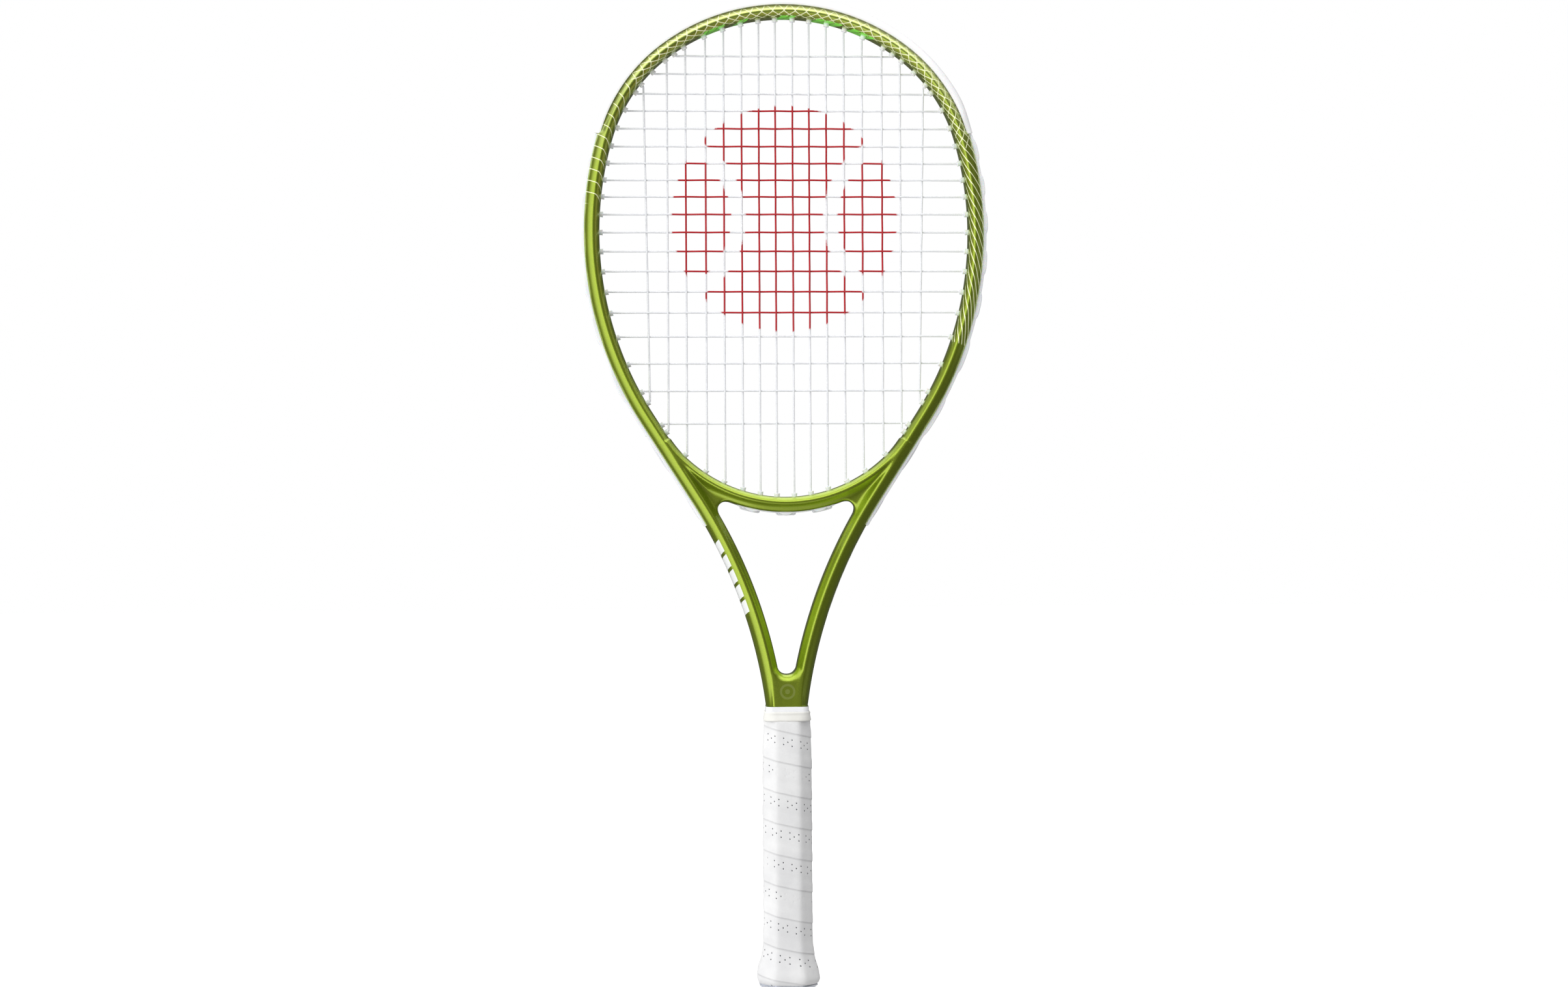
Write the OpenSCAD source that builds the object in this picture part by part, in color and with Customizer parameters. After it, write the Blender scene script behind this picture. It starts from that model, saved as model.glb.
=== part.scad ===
// Graphite tennis racket, strung and gripped.
// Millimetres. +Z runs up from the butt to the head, +X across the string bed, and the
// strings lie in the XZ plane. The origin is the centre of the flat butt end.

/* [Head] */
// Height of the tube's centre line at the crown
crown_z = 680; // [676:1:684]
// Radius of the crown, measured to the tube's centre line
crown_r = 138.75; // [136.25:1.25:140]
// Radius of both shoulders
shoulder_r = 115; // [113.75:1.25:116.25]
// Radius of the long sides
side_r = 240; // [238.75:1.25:241.25]

/* [Frame tube] */
// Width of the tube across the string bed
tube_w = 11.5; // [11:0.25:12]
// Depth of the tube, front to back
tube_d = 23; // [22:0.5:25]
// Corner radius of the tube
tube_corner = 4.5; // [3.5:0.5:5]
// Wall of the hollow tube
tube_wall = 1.5; // [1.2:0.1:1.6]

/* [Throat] */
// Length of the straight stretch of each shaft below the head
shaft_straight = 66.25; // [65:1.25:67.5]
// Radius of the bend that brings each shaft into the handle
shaft_bend_r = 350; // [347.5:1.25:352.5]
// Inner radius of the bridge, on the string side
bridge_r = 100; // [99.5:0.25:100.5]
// Thickness of the bridge across the string bed
bridge_w = 10; // [9:0.5:10.5]
// Depth of the thin webs between the bridge and the shafts
web_d = 12; // [8:1:16]
// Radius of the corners of the throat opening
throat_corner = 7; // [6:0.5:8]

/* [Strings] */
// Diameter of the string
string_d = 1.3; // [1.1:0.05:1.3]
// Outer diameter of a grommet barrel
barrel_d = 3.7; // [3.4:0.1:3.8]

/* [Handle] */
// Width of the gripped handle, side to side
grip_w = 34.5; // [33.5:0.5:36.5]
// Depth of the gripped handle, front to back
grip_d = 30; // [29:0.5:32]
// Thickness of the grip tape
tape_t = 1.8; // [1.4:0.1:2]
// Height of the top edge of the grip tape
grip_top = 186.5; // [184:0.5:188]
// Width of the butt at its widest
butt_w = 44; // [42:0.5:46]

/* [Butt cap door] */
// Width of the door in the butt cap
door_w = 17.4; // [16:0.2:18]
// Length of the door from its hinge edge to its free edge
door_l = 10.4; // [9.6:0.2:10.8]

/* [Hidden] */

// Directions where one arc of the outline meets the next, as [x, z] unit vectors.
crown_end = [0.6, 0.8];
shoulder_end = [0.96, 0.28];
side_end = [0.8432, -0.5376];
down_shaft = [side_end[1], -side_end[0]];
shaft_lean = atan2(-side_end[1], side_end[0]);

// Arc centres and joints of the tube's centre line, right-hand side.
crown_c = [0, crown_z - crown_r];
shoulder_c = crown_c + (crown_r - shoulder_r) * crown_end;
side_c = shoulder_c + (shoulder_r - side_r) * shoulder_end;
side_low = side_c + side_r * side_end;
bend_top = side_low + shaft_straight * down_shaft;
bend_c = bend_top + shaft_bend_r * side_end;
leg_x = bend_c[0] - shaft_bend_r;
leg_low_z = 8;

// The crotch, where the two shafts close up above the handle.
crotch_z = 226;
crotch_r = norm([bend_c[0], crotch_z - bend_c[1]]) - shaft_bend_r - tube_w / 2;

// The bridge's inner arc is tangent to the inner face of the shafts.
inner_face = [side_low[0], side_low[1]] - tube_w / 2 * side_end;
bridge_c = [0, inner_face[1] + (bridge_r - inner_face[0] * side_end[0]) / -side_end[1]];
bridge_out = bridge_r + bridge_w;

// Offsets across the tube, outward from its centre line.
groove_floor = tube_w / 2 - 1.6;
groove_w = 7;
bumper_floor = tube_w / 2 - 2;
bumper_proud = 3.2;
channel_floor = groove_floor + 1.2;
channel_w = 3.4;
strip_proud = 2;
strip_w = 9;
barrel_proud = 2.3;
barrel_bore = 1.8;
mouth_gap = 0.25;
mouth = tube_w / 2 + barrel_proud + mouth_gap;
loop_out = channel_floor + string_d / 2 + 0.35;
lay = string_d / 2 + 0.05;
under_bridge = 2.4;
loop_bulge = 920;
knot_d = 1.9;
reach = 500;
bumper_low_z = 594;
bumper_half_d = 10.5;
bumper_flat = 6.5;
bumper_chamfer = 2.4;

// How far a barrel's root stays short of the string loop behind it.
barrel_back = 1.75;
throat_barrel_back = 1.6;

// The throat strip and the humps under its string loops.
throat_strip_t = 1.3;
throat_strip_half_d = 4;
hump_r = 7.5;
hump_proud = 3;
hump_d = 6.4;
hump_angle = 12.4;

// Handle layers.
filler_w = 18;
filler_d = 17;
crotch_lap = 2.5;
leg_corner = 13.9;
bevel = 0.255;
pallet_w = grip_w - 2 * tape_t;
pallet_d = grip_d - 2 * tape_t;
plug_w = 27.6;
plug_d = 24.6;
plug_c = 5.2;
pallet_low = 4;
cap_top = 30;
tape_low = 3;
band_w = 29.9;
band_top = 196;
collar_top = 193.3;

// Staples and the door's hinge.
staple_span = 9;
staple_leg = 3.5;
staple_y = 15;
staple_z = 16;
tack_y = 18.9;
tack_z = 9;
hinge_y = door_l / 2 - 1.1;
hinge_z = 1.4;

// Where the strings run: heights of the crosses and half-distances of the mains.
main_top = [6, 17.5, 29.5, 41.9, 54.6, 68.4, 81.2, 97.5];
main_low = [6, 17.5, 29.5, 41.9, 54.6, 68.4, 81.2, 94];
cross_z = [648, 635.6, 621.7, 609.9, 597.6, 585.2, 573.4, 561.8, 550.2, 538, 525.5, 512.3,
           498.4, 484.2, 469.7, 453, 434.3, 415.2, 392.5];
// Where the fourth main leaves the shaft and where the side strip ends, on the shaft's bend.
main_exit = [-cos(30.4), sin(30.4)];
strip_end = [-cos(29.3), sin(29.3)];
throat_strip_end = [sin(18.6), -cos(18.6)];

// ---------- vector helpers in the string plane ----------
function unit(v) = v / norm(v);
function dist_in(v, d) = v[0] * d[0] + v[1] * d[1];

// A string hole: [point on the barrel mouth curve, outward direction, barrel length out].
function hole(p, d, run) = [p, d, run];
function on_arc(c, r, p) = hole(p, unit(p - c), mouth + loop_out);

// Top end of a main at half-distance x.
function top_hole(x) =
    x <= 0.6 * (crown_r - mouth)
    ? on_arc(crown_c, crown_r, [x, crown_c[1] + sqrt(pow(crown_r - mouth, 2) - x * x)])
    : on_arc(shoulder_c, shoulder_r,
             [x, shoulder_c[1] + sqrt(pow(shoulder_r - mouth, 2) - pow(x - shoulder_c[0], 2))]);

// Where a ray from the bridge's mouth curve leaves the outer face of the shaft.
function shaft_run(p, d) =
    (dist_in(side_low - p, side_end) + loop_out) / dist_in(d, side_end);
function bridge_mouth(x) =
    [x, bridge_c[1] - sqrt(pow(bridge_r - barrel_proud - mouth_gap, 2) - x * x)];

// Bottom end of a main: under the bridge, through the shaft, or through the side.
function low_hole(x) = let (p = bridge_mouth(min(x, 90)), d = unit(p - bridge_c))
    x < 35 ? hole(p, unit([d[0] / 2, d[1]]), bridge_w + barrel_proud + mouth_gap + under_bridge)
    : x < 50 ? let (q = bend_c + (shaft_bend_r - loop_out) * main_exit)
               hole(p, unit(q - p), norm(q - p))
    : x < 90 ? hole(p, d, shaft_run(p, d))
    : on_arc(side_c, side_r,
             [x, side_c[1] - sqrt(pow(side_r - mouth, 2) - pow(x - side_c[0], 2))]);

// Right-hand end of a cross at height z.
function cross_hole(z) =
    z >= crown_c[1] + 0.8 * (crown_r - mouth)
    ? on_arc(crown_c, crown_r, [sqrt(pow(crown_r - mouth, 2) - pow(z - crown_c[1], 2)), z])
    : z >= shoulder_c[1] + 0.28 * (shoulder_r - mouth)
    ? on_arc(shoulder_c, shoulder_r,
             [shoulder_c[0] + sqrt(pow(shoulder_r - mouth, 2) - pow(z - shoulder_c[1], 2)), z])
    : z >= side_c[1] + side_end[1] * (side_r - mouth)
    ? on_arc(side_c, side_r,
             [side_c[0] + sqrt(pow(side_r - mouth, 2) - pow(z - side_c[1], 2)), z])
    : let (p = side_low - mouth * side_end)
      hole([p[0] - (z - p[1]) * side_end[1] / side_end[0], z], side_end, mouth + loop_out);

function leave(h) = h[0] + h[2] * h[1];
function mirrored(h) = [[-h[0][0], h[0][1]], [-h[1][0], h[1][1]], h[2]];
function sided(h, s) = s > 0 ? h : mirrored(h);

top_holes = [for (x = main_top) top_hole(x)];
low_holes = [for (x = main_low) low_hole(x)];
cross_holes = [for (z = cross_z) cross_hole(z)];
bridge_holes = [for (i = [0:2]) low_holes[i]];
shaft_holes = [for (i = [3:7]) low_holes[i]];

// ---------- building blocks ----------
// The wedge of the string plane seen from point c between directions a and b.
module wedge(c, a, b) {
    translate([c[0], 0, c[1]]) rotate([90, 0, 0])
        linear_extrude(height = 80, center = true)
            polygon([[0, 0], reach * a, reach * (a + b), reach * b]);
}

// A full ring about point c; the children are drawn with x across the tube, outward.
module ring(c, r) {
    translate([c[0], 0, c[1]]) rotate([90, 0, 0])
        rotate_extrude($fn = 240) translate([r, 0]) children();
}

// A stretch of ring between two directions.
module arc(c, r, a, b) {
    intersection() { ring(c, r) children(); wedge(c, a, b); }
}

// A straight stretch from point p down the shaft, with the same profile as the arcs.
module straight(p, len) {
    translate([p[0], 0, p[1]]) rotate([0, shaft_lean, 0]) rotate([180, 0, 0])
        linear_extrude(height = len) children();
}

module rounded_bar(w, d, r) {
    union() {
        square([w - 2 * r, d], center = true);
        square([w, d - 2 * r], center = true);
        for (sx = [-1, 1], sy = [-1, 1])
            translate([sx * (w / 2 - r), sy * (d / 2 - r)]) circle(r = r, $fn = 48);
    }
}

module tube_profile() { rounded_bar(tube_w, tube_d, tube_corner); }

module cavity_profile() {
    low = -tube_w / 2 + tube_wall;
    high = bumper_floor - tube_wall + 0.3;
    translate([(low + high) / 2, 0]) rounded_bar(high - low, tube_d - 2 * tube_wall - 0.4, 2.5);
}

// A block of the strip plane that sits between two offsets and two depths.
module band(low, high, half_d) {
    translate([low, -half_d]) square([high - low, 2 * half_d]);
}

module both_sides() { children(); mirror([1, 0, 0]) children(); }

// The right-hand half of the hairpin, drawn with the profile given as child.
module half_hairpin() {
    arc(crown_c, crown_r, [0, 1], crown_end) children();
    arc(shoulder_c, shoulder_r, crown_end, shoulder_end) children();
    arc(side_c, side_r, shoulder_end, side_end) children();
    straight(side_low, shaft_straight) children();
    arc(bend_c, shaft_bend_r, -side_end, [-1, 0]) mirror([1, 0]) children();
    translate([leg_x, 0, leg_low_z])
        linear_extrude(height = bend_c[1] - leg_low_z) children();
}

// A round rod along a hole, between two distances from its mouth.
module rod(h, from, to, d, y) {
    p = h[0] + from * h[1];
    translate([p[0], y, p[1]]) rotate([0, atan2(h[1][0], h[1][1]), 0])
        cylinder(d = d, h = to - from, $fn = 32);
}

// A string swept through points of the string plane, mitred at each bend.
function turn(v) = [v[1], -v[0]];
function ahead(pts, i) = unit(pts[min(i + 1, len(pts) - 1)] - pts[min(i, len(pts) - 2)]);
function behind(pts, i) = unit(pts[max(i, 1)] - pts[max(i - 1, 0)]);
function mitre(pts, i) = let (m = unit(turn(behind(pts, i)) + turn(ahead(pts, i))))
    m / dist_in(m, turn(ahead(pts, i)));

module route(pts, y) {
    n = len(pts);
    sides = 8;
    rings = [for (i = [0:n - 1], k = [0:sides - 1]) let (a = 360 * k / sides, m = mitre(pts, i))
        [pts[i][0] + string_d / 2 * cos(a) * m[0], y + string_d / 2 * sin(a),
         pts[i][1] + string_d / 2 * cos(a) * m[1]]];
    walls = [for (i = [0:n - 2], k = [0:sides - 1])
        [sides * i + k, sides * (i + 1) + k,
         sides * (i + 1) + (k + 1) % sides, sides * i + (k + 1) % sides]];
    polyhedron(rings, concat([[for (k = [0:sides - 1]) k]], walls,
                             [[for (k = [sides - 1:-1:0]) sides * (n - 1) + k]]));
}

// ---------- string routes ----------
// The middle of a loop that runs round the outside from one hole to the next.
function loop_mid(a, b) =
    (leave(a) + leave(b)) / 2 + unit(a[1] + b[1]) * pow(norm(leave(a) - leave(b)), 2) / loop_bulge;

function run_up(i) = [leave(low_holes[i]), low_holes[i][0], top_holes[i][0], leave(top_holes[i])];
function run_down(i) = [for (k = [3:-1:0]) run_up(i)[k]];

// Right half of the mains, from the outermost one inward to the centre.
half_mains = [for (i = [7:-1:0])
    for (p = concat(i % 2 == 1 ? run_up(i) : run_down(i),
                    i == 0 ? [] : i % 2 == 1 ? [loop_mid(top_holes[i], top_holes[i - 1])]
                                             : [loop_mid(low_holes[i], low_holes[i - 1])])) p];

function cross_run(i, s) =
    let (a = sided(cross_holes[i], -s), b = sided(cross_holes[i], s))
    concat([leave(a), a[0], b[0], leave(b)],
           i < 18 ? [loop_mid(b, sided(cross_holes[i + 1], s))] : []);
cross_points = [for (i = [0:18]) for (p = cross_run(i, i % 2 == 0 ? -1 : 1)) p];

// ---------- frame ----------
module side_holes(d, from = -1, to_extra = 3) {
    for (h = top_holes) rod(h, from, h[2] + to_extra, d, -lay);
    for (h = shaft_holes) rod(h, from, h[2] + to_extra, d, -lay);
    for (h = cross_holes) rod(h, from, h[2] + to_extra, d, lay);
}

// The stretch of the outline that carries a side grommet strip, right-hand side.
module strip_path() {
    arc(side_c, side_r, shoulder_end, side_end) children();
    straight(side_low, shaft_straight) children();
    arc(bend_c, shaft_bend_r, -side_end, strip_end) mirror([1, 0]) children();
}

// The stretch that carries the bumper guard, right-hand half.
module bumper_path() {
    arc(crown_c, crown_r, [0, 1], crown_end) children();
    arc(shoulder_c, shoulder_r, crown_end, shoulder_end) children();
}

module leg_filler() {
    difference() {
        translate([-filler_w / 2, -filler_d / 2, leg_low_z])
            cube([filler_w, filler_d, crotch_z - crotch_lap - leg_low_z]);
        translate([0, 0, crotch_z]) rotate([90, 0, 0])
            cylinder(r = crotch_r, h = 60, center = true, $fn = 96);
    }
}

// Cuts the corners of the two legs so that they fit inside the octagonal handle.
module leg_corner_trim() {
    for (a = [45, 135, 225, 315]) rotate([0, 0, a])
        translate([leg_corner, -20, 0]) cube([20, 40, grip_top]);
}

module frame_tube() {
    color("yellowgreen") difference() {
        union() {
            both_sides() half_hairpin() tube_profile();
            leg_filler();
        }
        both_sides() half_hairpin() cavity_profile();
        both_sides() strip_path() band(groove_floor, tube_w, groove_w / 2);
        both_sides() bumper_path() band(bumper_floor, tube_w, tube_d);
        both_sides() side_holes(barrel_d + 0.2);
        leg_corner_trim();
    }
}

// ---------- throat ----------
// Centre of the rounded corner of the throat opening.
corner_off = bridge_out + throat_corner;
corner_along = sqrt(pow(corner_off, 2) - pow(bridge_r - throat_corner, 2));
corner_c = bridge_c + (bridge_r - throat_corner) * side_end + corner_along * down_shaft;
web_low = corner_c + throat_corner * side_end;
web_high = bridge_c + bridge_r * side_end;
web_inner = bridge_c + bridge_out * unit(corner_c - bridge_c);

module web() {
    rotate([90, 0, 0]) linear_extrude(height = web_d, center = true) difference() {
        polygon([web_inner, web_low, web_high]);
        translate(bridge_c) circle(r = bridge_out - 1, $fn = 240);
        translate(corner_c) circle(r = throat_corner + 0.05, $fn = 96);
    }
}

module throat_bridge() {
    color("olivedrab") difference() {
        both_sides() {
            arc(bridge_c, bridge_r + bridge_w / 2, [0, -1], [0.8, -0.6])
                rounded_bar(bridge_w, tube_d - 1, 4);
            web();
        }
        both_sides() straight(side_low - 20 * down_shaft, 120) band(-tube_w / 2, 60, 40);
        both_sides() for (i = [0:6])
            rod(low_holes[i], -1, low_holes[i][2] + 3, barrel_d + 0.2, -lay);
    }
}

// ---------- guards and grommets ----------
module bumper_profile() {
    proud = tube_w / 2 + bumper_proud;
    difference() {
        polygon([[bumper_floor, -bumper_half_d], [proud - bumper_chamfer, -bumper_half_d],
                 [proud, -bumper_flat], [proud, bumper_flat],
                 [proud - bumper_chamfer, bumper_half_d], [bumper_floor, bumper_half_d]]);
        band(channel_floor, 20, channel_w / 2 + 0.2);
    }
}

module strip_profile() {
    proud = tube_w / 2 + strip_proud;
    difference() {
        union() {
            band(groove_floor, proud, groove_w / 2 - 0.1);
            band(tube_w / 2, proud, strip_w / 2);
        }
        band(channel_floor, 20, channel_w / 2);
    }
}

// Barrels for the given holes, with the string bore cut through the children too.
module with_barrels(holes, y) {
    difference() {
        union() {
            children();
            for (h = holes) rod(h, mouth_gap, h[2] - barrel_back, barrel_d, y);
        }
        for (h = holes) rod(h, -1, h[2] + 1, barrel_bore, y);
    }
}

bumper_crosses = [for (h = cross_holes) if (h[0][1] > bumper_low_z) h];
strip_crosses = [for (h = cross_holes) if (h[0][1] < bumper_low_z) h];

module bumper_guard() {
    color("white") both_sides()
        with_barrels(bumper_crosses, lay) with_barrels(top_holes, -lay)
            bumper_path() bumper_profile();
}

module side_strip() {
    with_barrels(strip_crosses, lay) with_barrels(shaft_holes, -lay)
        strip_path() strip_profile();
}

module grommet_strip_right() { color("whitesmoke") side_strip(); }
module grommet_strip_left() { color("whitesmoke") mirror([1, 0, 0]) side_strip(); }

// A round hump under the strip that a string loop runs over.
module hump(angle) {
    p = bridge_c + (bridge_out + hump_proud - hump_r) * [sin(angle), -cos(angle)];
    translate([p[0], 0, p[1]]) rotate([90, 0, 0])
        cylinder(r = hump_r, h = hump_d, center = true, $fn = 96);
}

module throat_grommet_strip() {
    color("whitesmoke") difference() {
        union() {
            both_sides() arc(bridge_c, bridge_out, [0, -1], throat_strip_end)
                band(0, throat_strip_t, throat_strip_half_d);
            difference() {
                for (a = [-hump_angle, 0, hump_angle]) hump(a);
                ring(bridge_c, 0) band(0, bridge_out, 20);
            }
            both_sides() for (h = bridge_holes) rod(h, mouth_gap, h[2] - throat_barrel_back, barrel_d, -lay);
        }
        both_sides() for (h = bridge_holes) rod(h, -1, h[2] + 1, barrel_bore, -lay);
        ring(bridge_c, bridge_out) translate([0, lay]) band(throat_strip_t, 20, 1);
    }
}

// ---------- strings ----------
module knot(p, y) { translate([p[0], y, p[1]]) sphere(d = knot_d, $fn = 32); }

module main_string() {
    n = len(half_mains);
    color("lightgray") {
        route(concat(half_mains, [for (k = [n - 1:-1:0]) [-half_mains[k][0], half_mains[k][1]]]), -lay);
        both_sides() knot(half_mains[0], -lay);
    }
}

module cross_string() {
    color("gainsboro") {
        route(cross_points, lay);
        knot(cross_points[0], lay);
        knot(cross_points[len(cross_points) - 1], lay);
    }
}

// ---------- handle ----------
// Octagon sections as [height, width, depth]; one loft joins them with flat facets.
cap_foot = [[0, 31, 27], [1.2, 36.4, 32.2], [tape_low, butt_w - 3.6, butt_w - 7.8]];
cap_body = [[tape_low, butt_w - 7.2, butt_w - 11.4], [7, butt_w - 3.6, butt_w - 7.8],
            [12, butt_w - 4.6, butt_w - 8.8], [19, butt_w - 8.6, butt_w - 12.8],
            [cap_top, pallet_w, pallet_d]];
tape_outer = [[tape_low, butt_w - 3.6, butt_w - 7.8], [7, butt_w, butt_w - 4.2],
              [12, butt_w - 1, butt_w - 5.2], [19, butt_w - 5, butt_w - 9.2],
              [cap_top, grip_w + 0.4, grip_d + 0.4], [44, grip_w, grip_d], [grip_top, grip_w, grip_d]];

function octagon(w, d, c) =
    [[w / 2, d / 2 - c], [w / 2 - c, d / 2], [c - w / 2, d / 2], [-w / 2, d / 2 - c],
     [-w / 2, c - d / 2], [c - w / 2, -d / 2], [w / 2 - c, -d / 2], [w / 2, c - d / 2]];

module loft(sections) {
    n = len(sections);
    points = [for (s = sections) for (p = octagon(s[1], s[2], bevel * s[1])) [p[0], p[1], s[0]]];
    sides = [for (i = [0:n - 2], k = [0:7])
        [8 * i + k, 8 * i + 8 + k, 8 * i + 8 + (k + 1) % 8, 8 * i + (k + 1) % 8]];
    polyhedron(points, concat([[for (k = [0:7]) k]], sides,
                              [[for (k = [7:-1:0]) 8 * (n - 1) + k]]));
}

module prism(w, d, c, low, high) {
    translate([0, 0, low]) linear_extrude(height = high - low) polygon(octagon(w, d, c));
}

// The two legs of the frame as solid bars, for cutting their seats.
module leg_seats() {
    both_sides() {
        arc(bend_c, shaft_bend_r, [-0.8, 0.6], [-1, 0]) tube_profile();
        translate([leg_x, 0, leg_low_z])
            linear_extrude(height = bend_c[1] - leg_low_z) tube_profile();
    }
    translate([-filler_w / 2, -filler_d / 2, leg_low_z])
        cube([filler_w, filler_d, 200 - leg_low_z]);
}

module handle_pallet() {
    color("tan") difference() {
        union() {
            prism(pallet_w, pallet_d, bevel * pallet_w, cap_top, grip_top);
            prism(plug_w, plug_d, plug_c, pallet_low, cap_top + 1);
        }
        difference() { leg_seats(); leg_corner_trim(); }
        translate([-9, -7, pallet_low - 1]) cube([18, 14, leg_low_z - pallet_low + 1]);
        staples(staple_z, 0.05);
    }
}

// A pair of wire staples, front and back: crown across, two legs pointing inward.
module staple(y, z, grow) {
    for (x = [-staple_span / 2, staple_span / 2]) translate([x, y + 0.5, z]) rotate([90, 0, 0])
        cylinder(d = 0.9 + 2 * grow, h = staple_leg + grow, $fn = 24);
    translate([-staple_span / 2 - 0.45 - grow, y - grow, z - 0.45 - grow])
        cube([staple_span + 0.9 + 2 * grow, 0.8 + 2 * grow, 0.9 + 2 * grow]);
}

module staples(z, grow) {
    for (a = [0, 180]) rotate([0, 0, a]) staple(staple_y, z, grow);
}

module butt_cap_staples() { color("silver") staples(staple_z, 0); }

module butt_cap() {
    color("whitesmoke") difference() {
        union() { loft(cap_foot); loft(cap_body); }
        prism(plug_w, plug_d, plug_c, pallet_low, cap_top + 1);
        translate([-door_w / 2 - 0.3, -door_l / 2 - 0.3, -1]) cube([door_w + 0.6, door_l + 0.6, 3.8]);
        translate([-7, -3.8, 0]) cube([14, 7, pallet_low + 1]);
        translate([0, hinge_y, hinge_z]) rotate([0, 90, 0])
            cylinder(d = 2.1, h = door_w + 3.2, center = true, $fn = 48);
        staples(staple_z, 0.05);
        rotate([0, 0, 180]) translate([-staple_span / 2 - 1, staple_y, staple_z - 0.6])
            cube([staple_span + 2, 6, 1.2]);
        translate([-staple_span / 2 - 1, staple_y, staple_z - 0.6]) cube([staple_span + 2, 6, 1.2]);
        staple(tack_y, tack_z, 0.05);
    }
}

// The door fills the opening in the cap's end and swings down on its own two pins.
module butt_cap_door() {
    color("slategray") difference() {
        union() {
            translate([-door_w / 2, -door_l / 2, 0.3]) cube([door_w, hinge_y + door_l / 2, 1.8]);
            translate([0, hinge_y, hinge_z]) rotate([0, 90, 0]) {
                cylinder(d = 2.2, h = door_w, center = true, $fn = 48);
                cylinder(d = 1.96, h = door_w + 2.6, center = true, $fn = 48);
            }
        }
        translate([0, -door_l / 2 - 1, 0]) cylinder(r = 2.4, h = 1.1, $fn = 48);
    }
}

module grip_tape() {
    color("white") difference() {
        loft(tape_outer);
        loft(concat([[tape_low - 1, butt_w - 7.2, butt_w - 11.4]], cap_body,
                    [[grip_top + 1, pallet_w, pallet_d]]));
        staple(tack_y, tack_z, 0.05);
    }
}

module grip_staple() { color("silver") staple(tack_y, tack_z, 0); }

module finishing_tape() {
    color("white") difference() {
        translate([0, 0, grip_top]) linear_extrude(height = band_top - grip_top)
            rounded_bar(band_w, tube_d + 1.2, tube_corner + 0.6);
        leg_seats();
    }
}

module rubber_collar() {
    color("ivory") difference() {
        union() {
            translate([0, 0, grip_top]) linear_extrude(height = collar_top - grip_top)
                rounded_bar(band_w + 1.8, tube_d + 3, tube_corner + 1.5);
            translate([0, 0, collar_top - 1.8]) linear_extrude(height = 1.8)
                rounded_bar(band_w + 3, tube_d + 4.2, tube_corner + 2.1);
        }
        translate([0, 0, grip_top - 1]) linear_extrude(height = 20)
            rounded_bar(band_w, tube_d + 1.2, tube_corner + 0.6);
    }
}

frame_tube();
throat_bridge();
bumper_guard();
grommet_strip_left();
grommet_strip_right();
throat_grommet_strip();
main_string();
cross_string();
handle_pallet();
butt_cap();
butt_cap_door();
butt_cap_staples();
grip_tape();
grip_staple();
finishing_tape();
rubber_collar();
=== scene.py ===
import math

import bmesh
import bpy
import numpy as np
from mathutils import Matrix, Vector


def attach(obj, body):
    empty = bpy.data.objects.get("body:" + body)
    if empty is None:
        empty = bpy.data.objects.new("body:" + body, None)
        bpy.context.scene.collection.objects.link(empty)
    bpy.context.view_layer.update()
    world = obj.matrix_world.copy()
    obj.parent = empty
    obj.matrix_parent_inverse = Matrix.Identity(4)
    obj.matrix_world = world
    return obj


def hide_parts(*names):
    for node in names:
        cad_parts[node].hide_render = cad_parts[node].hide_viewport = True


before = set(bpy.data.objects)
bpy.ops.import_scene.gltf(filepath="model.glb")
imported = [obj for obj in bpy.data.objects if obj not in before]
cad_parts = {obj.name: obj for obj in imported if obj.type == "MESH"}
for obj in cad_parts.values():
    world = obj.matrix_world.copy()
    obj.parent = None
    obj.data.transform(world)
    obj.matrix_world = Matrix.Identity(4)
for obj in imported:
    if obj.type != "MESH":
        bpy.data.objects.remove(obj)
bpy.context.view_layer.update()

MM = 0.001

# ---------- sizes of the racket, in millimetres ----------
CROWN_Z = 680.0
CROWN_R = 138.75
SHOULDER_R = 115.0
SIDE_R = 240.0
TUBE_W = 11.5
# Places on the tube's section: offset outward and depth of its ridge, depths of its edges.
RIDGE = -1.8
RIDGE_DEPTH = 12.1
INNER_EDGE = 7.2
OUTER_EDGE = 6.6
BUMPER_RECESS = 1.8
SHAFT_STRAIGHT = 66.25
BEND_R = 350.0
BRIDGE_R = 100.0
BRIDGE_W = 10.0
BRIDGE_RIDGE = (-1.3, 11.7)
BRIDGE_LOW_EDGE = 5.8
WEB_HALF = 5.6
THROAT_CORNER = 7.0
WEB_ANGLE = 37.4
LEG_LOW_Z = 8.0
CROTCH_Z = 226.0
CROTCH_HALF = 9.0
CROTCH_DEPTH = 11.3
NECK_DEPTH = 11.2

STRING_D = 1.3
BARREL_PROUD = 2.3
MOUTH_GAP = 0.25
MOUTH = TUBE_W / 2 + BARREL_PROUD + MOUTH_GAP
LOOP_OUT = 6.35
UNDER_BRIDGE = 2.4
LOOP_BULGE = 920.0
LAY = 0.7
WEAVE = 0.65
MAIN_EXIT = 30.4
STRIP_END = 29.3
BUMPER_LOW_Z = 594.0

MAIN_TOP = [6, 17.5, 29.5, 41.9, 54.6, 68.4, 81.2, 97.5]
MAIN_LOW = [6, 17.5, 29.5, 41.9, 54.6, 68.4, 81.2, 94]
CROSS_Z = [648, 635.6, 621.7, 609.9, 597.6, 585.2, 573.4, 561.8, 550.2, 538, 525.5, 512.3,
           498.4, 484.2, 469.7, 453, 434.3, 415.2, 392.5]

GRIP_TOP = 186.5
GRIP_LOW = 3.0
BEVEL = 0.255
TAPE_PITCH = 21.5
TAPE_START = -9.5
TAPE_ROUND = 112.0
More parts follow.
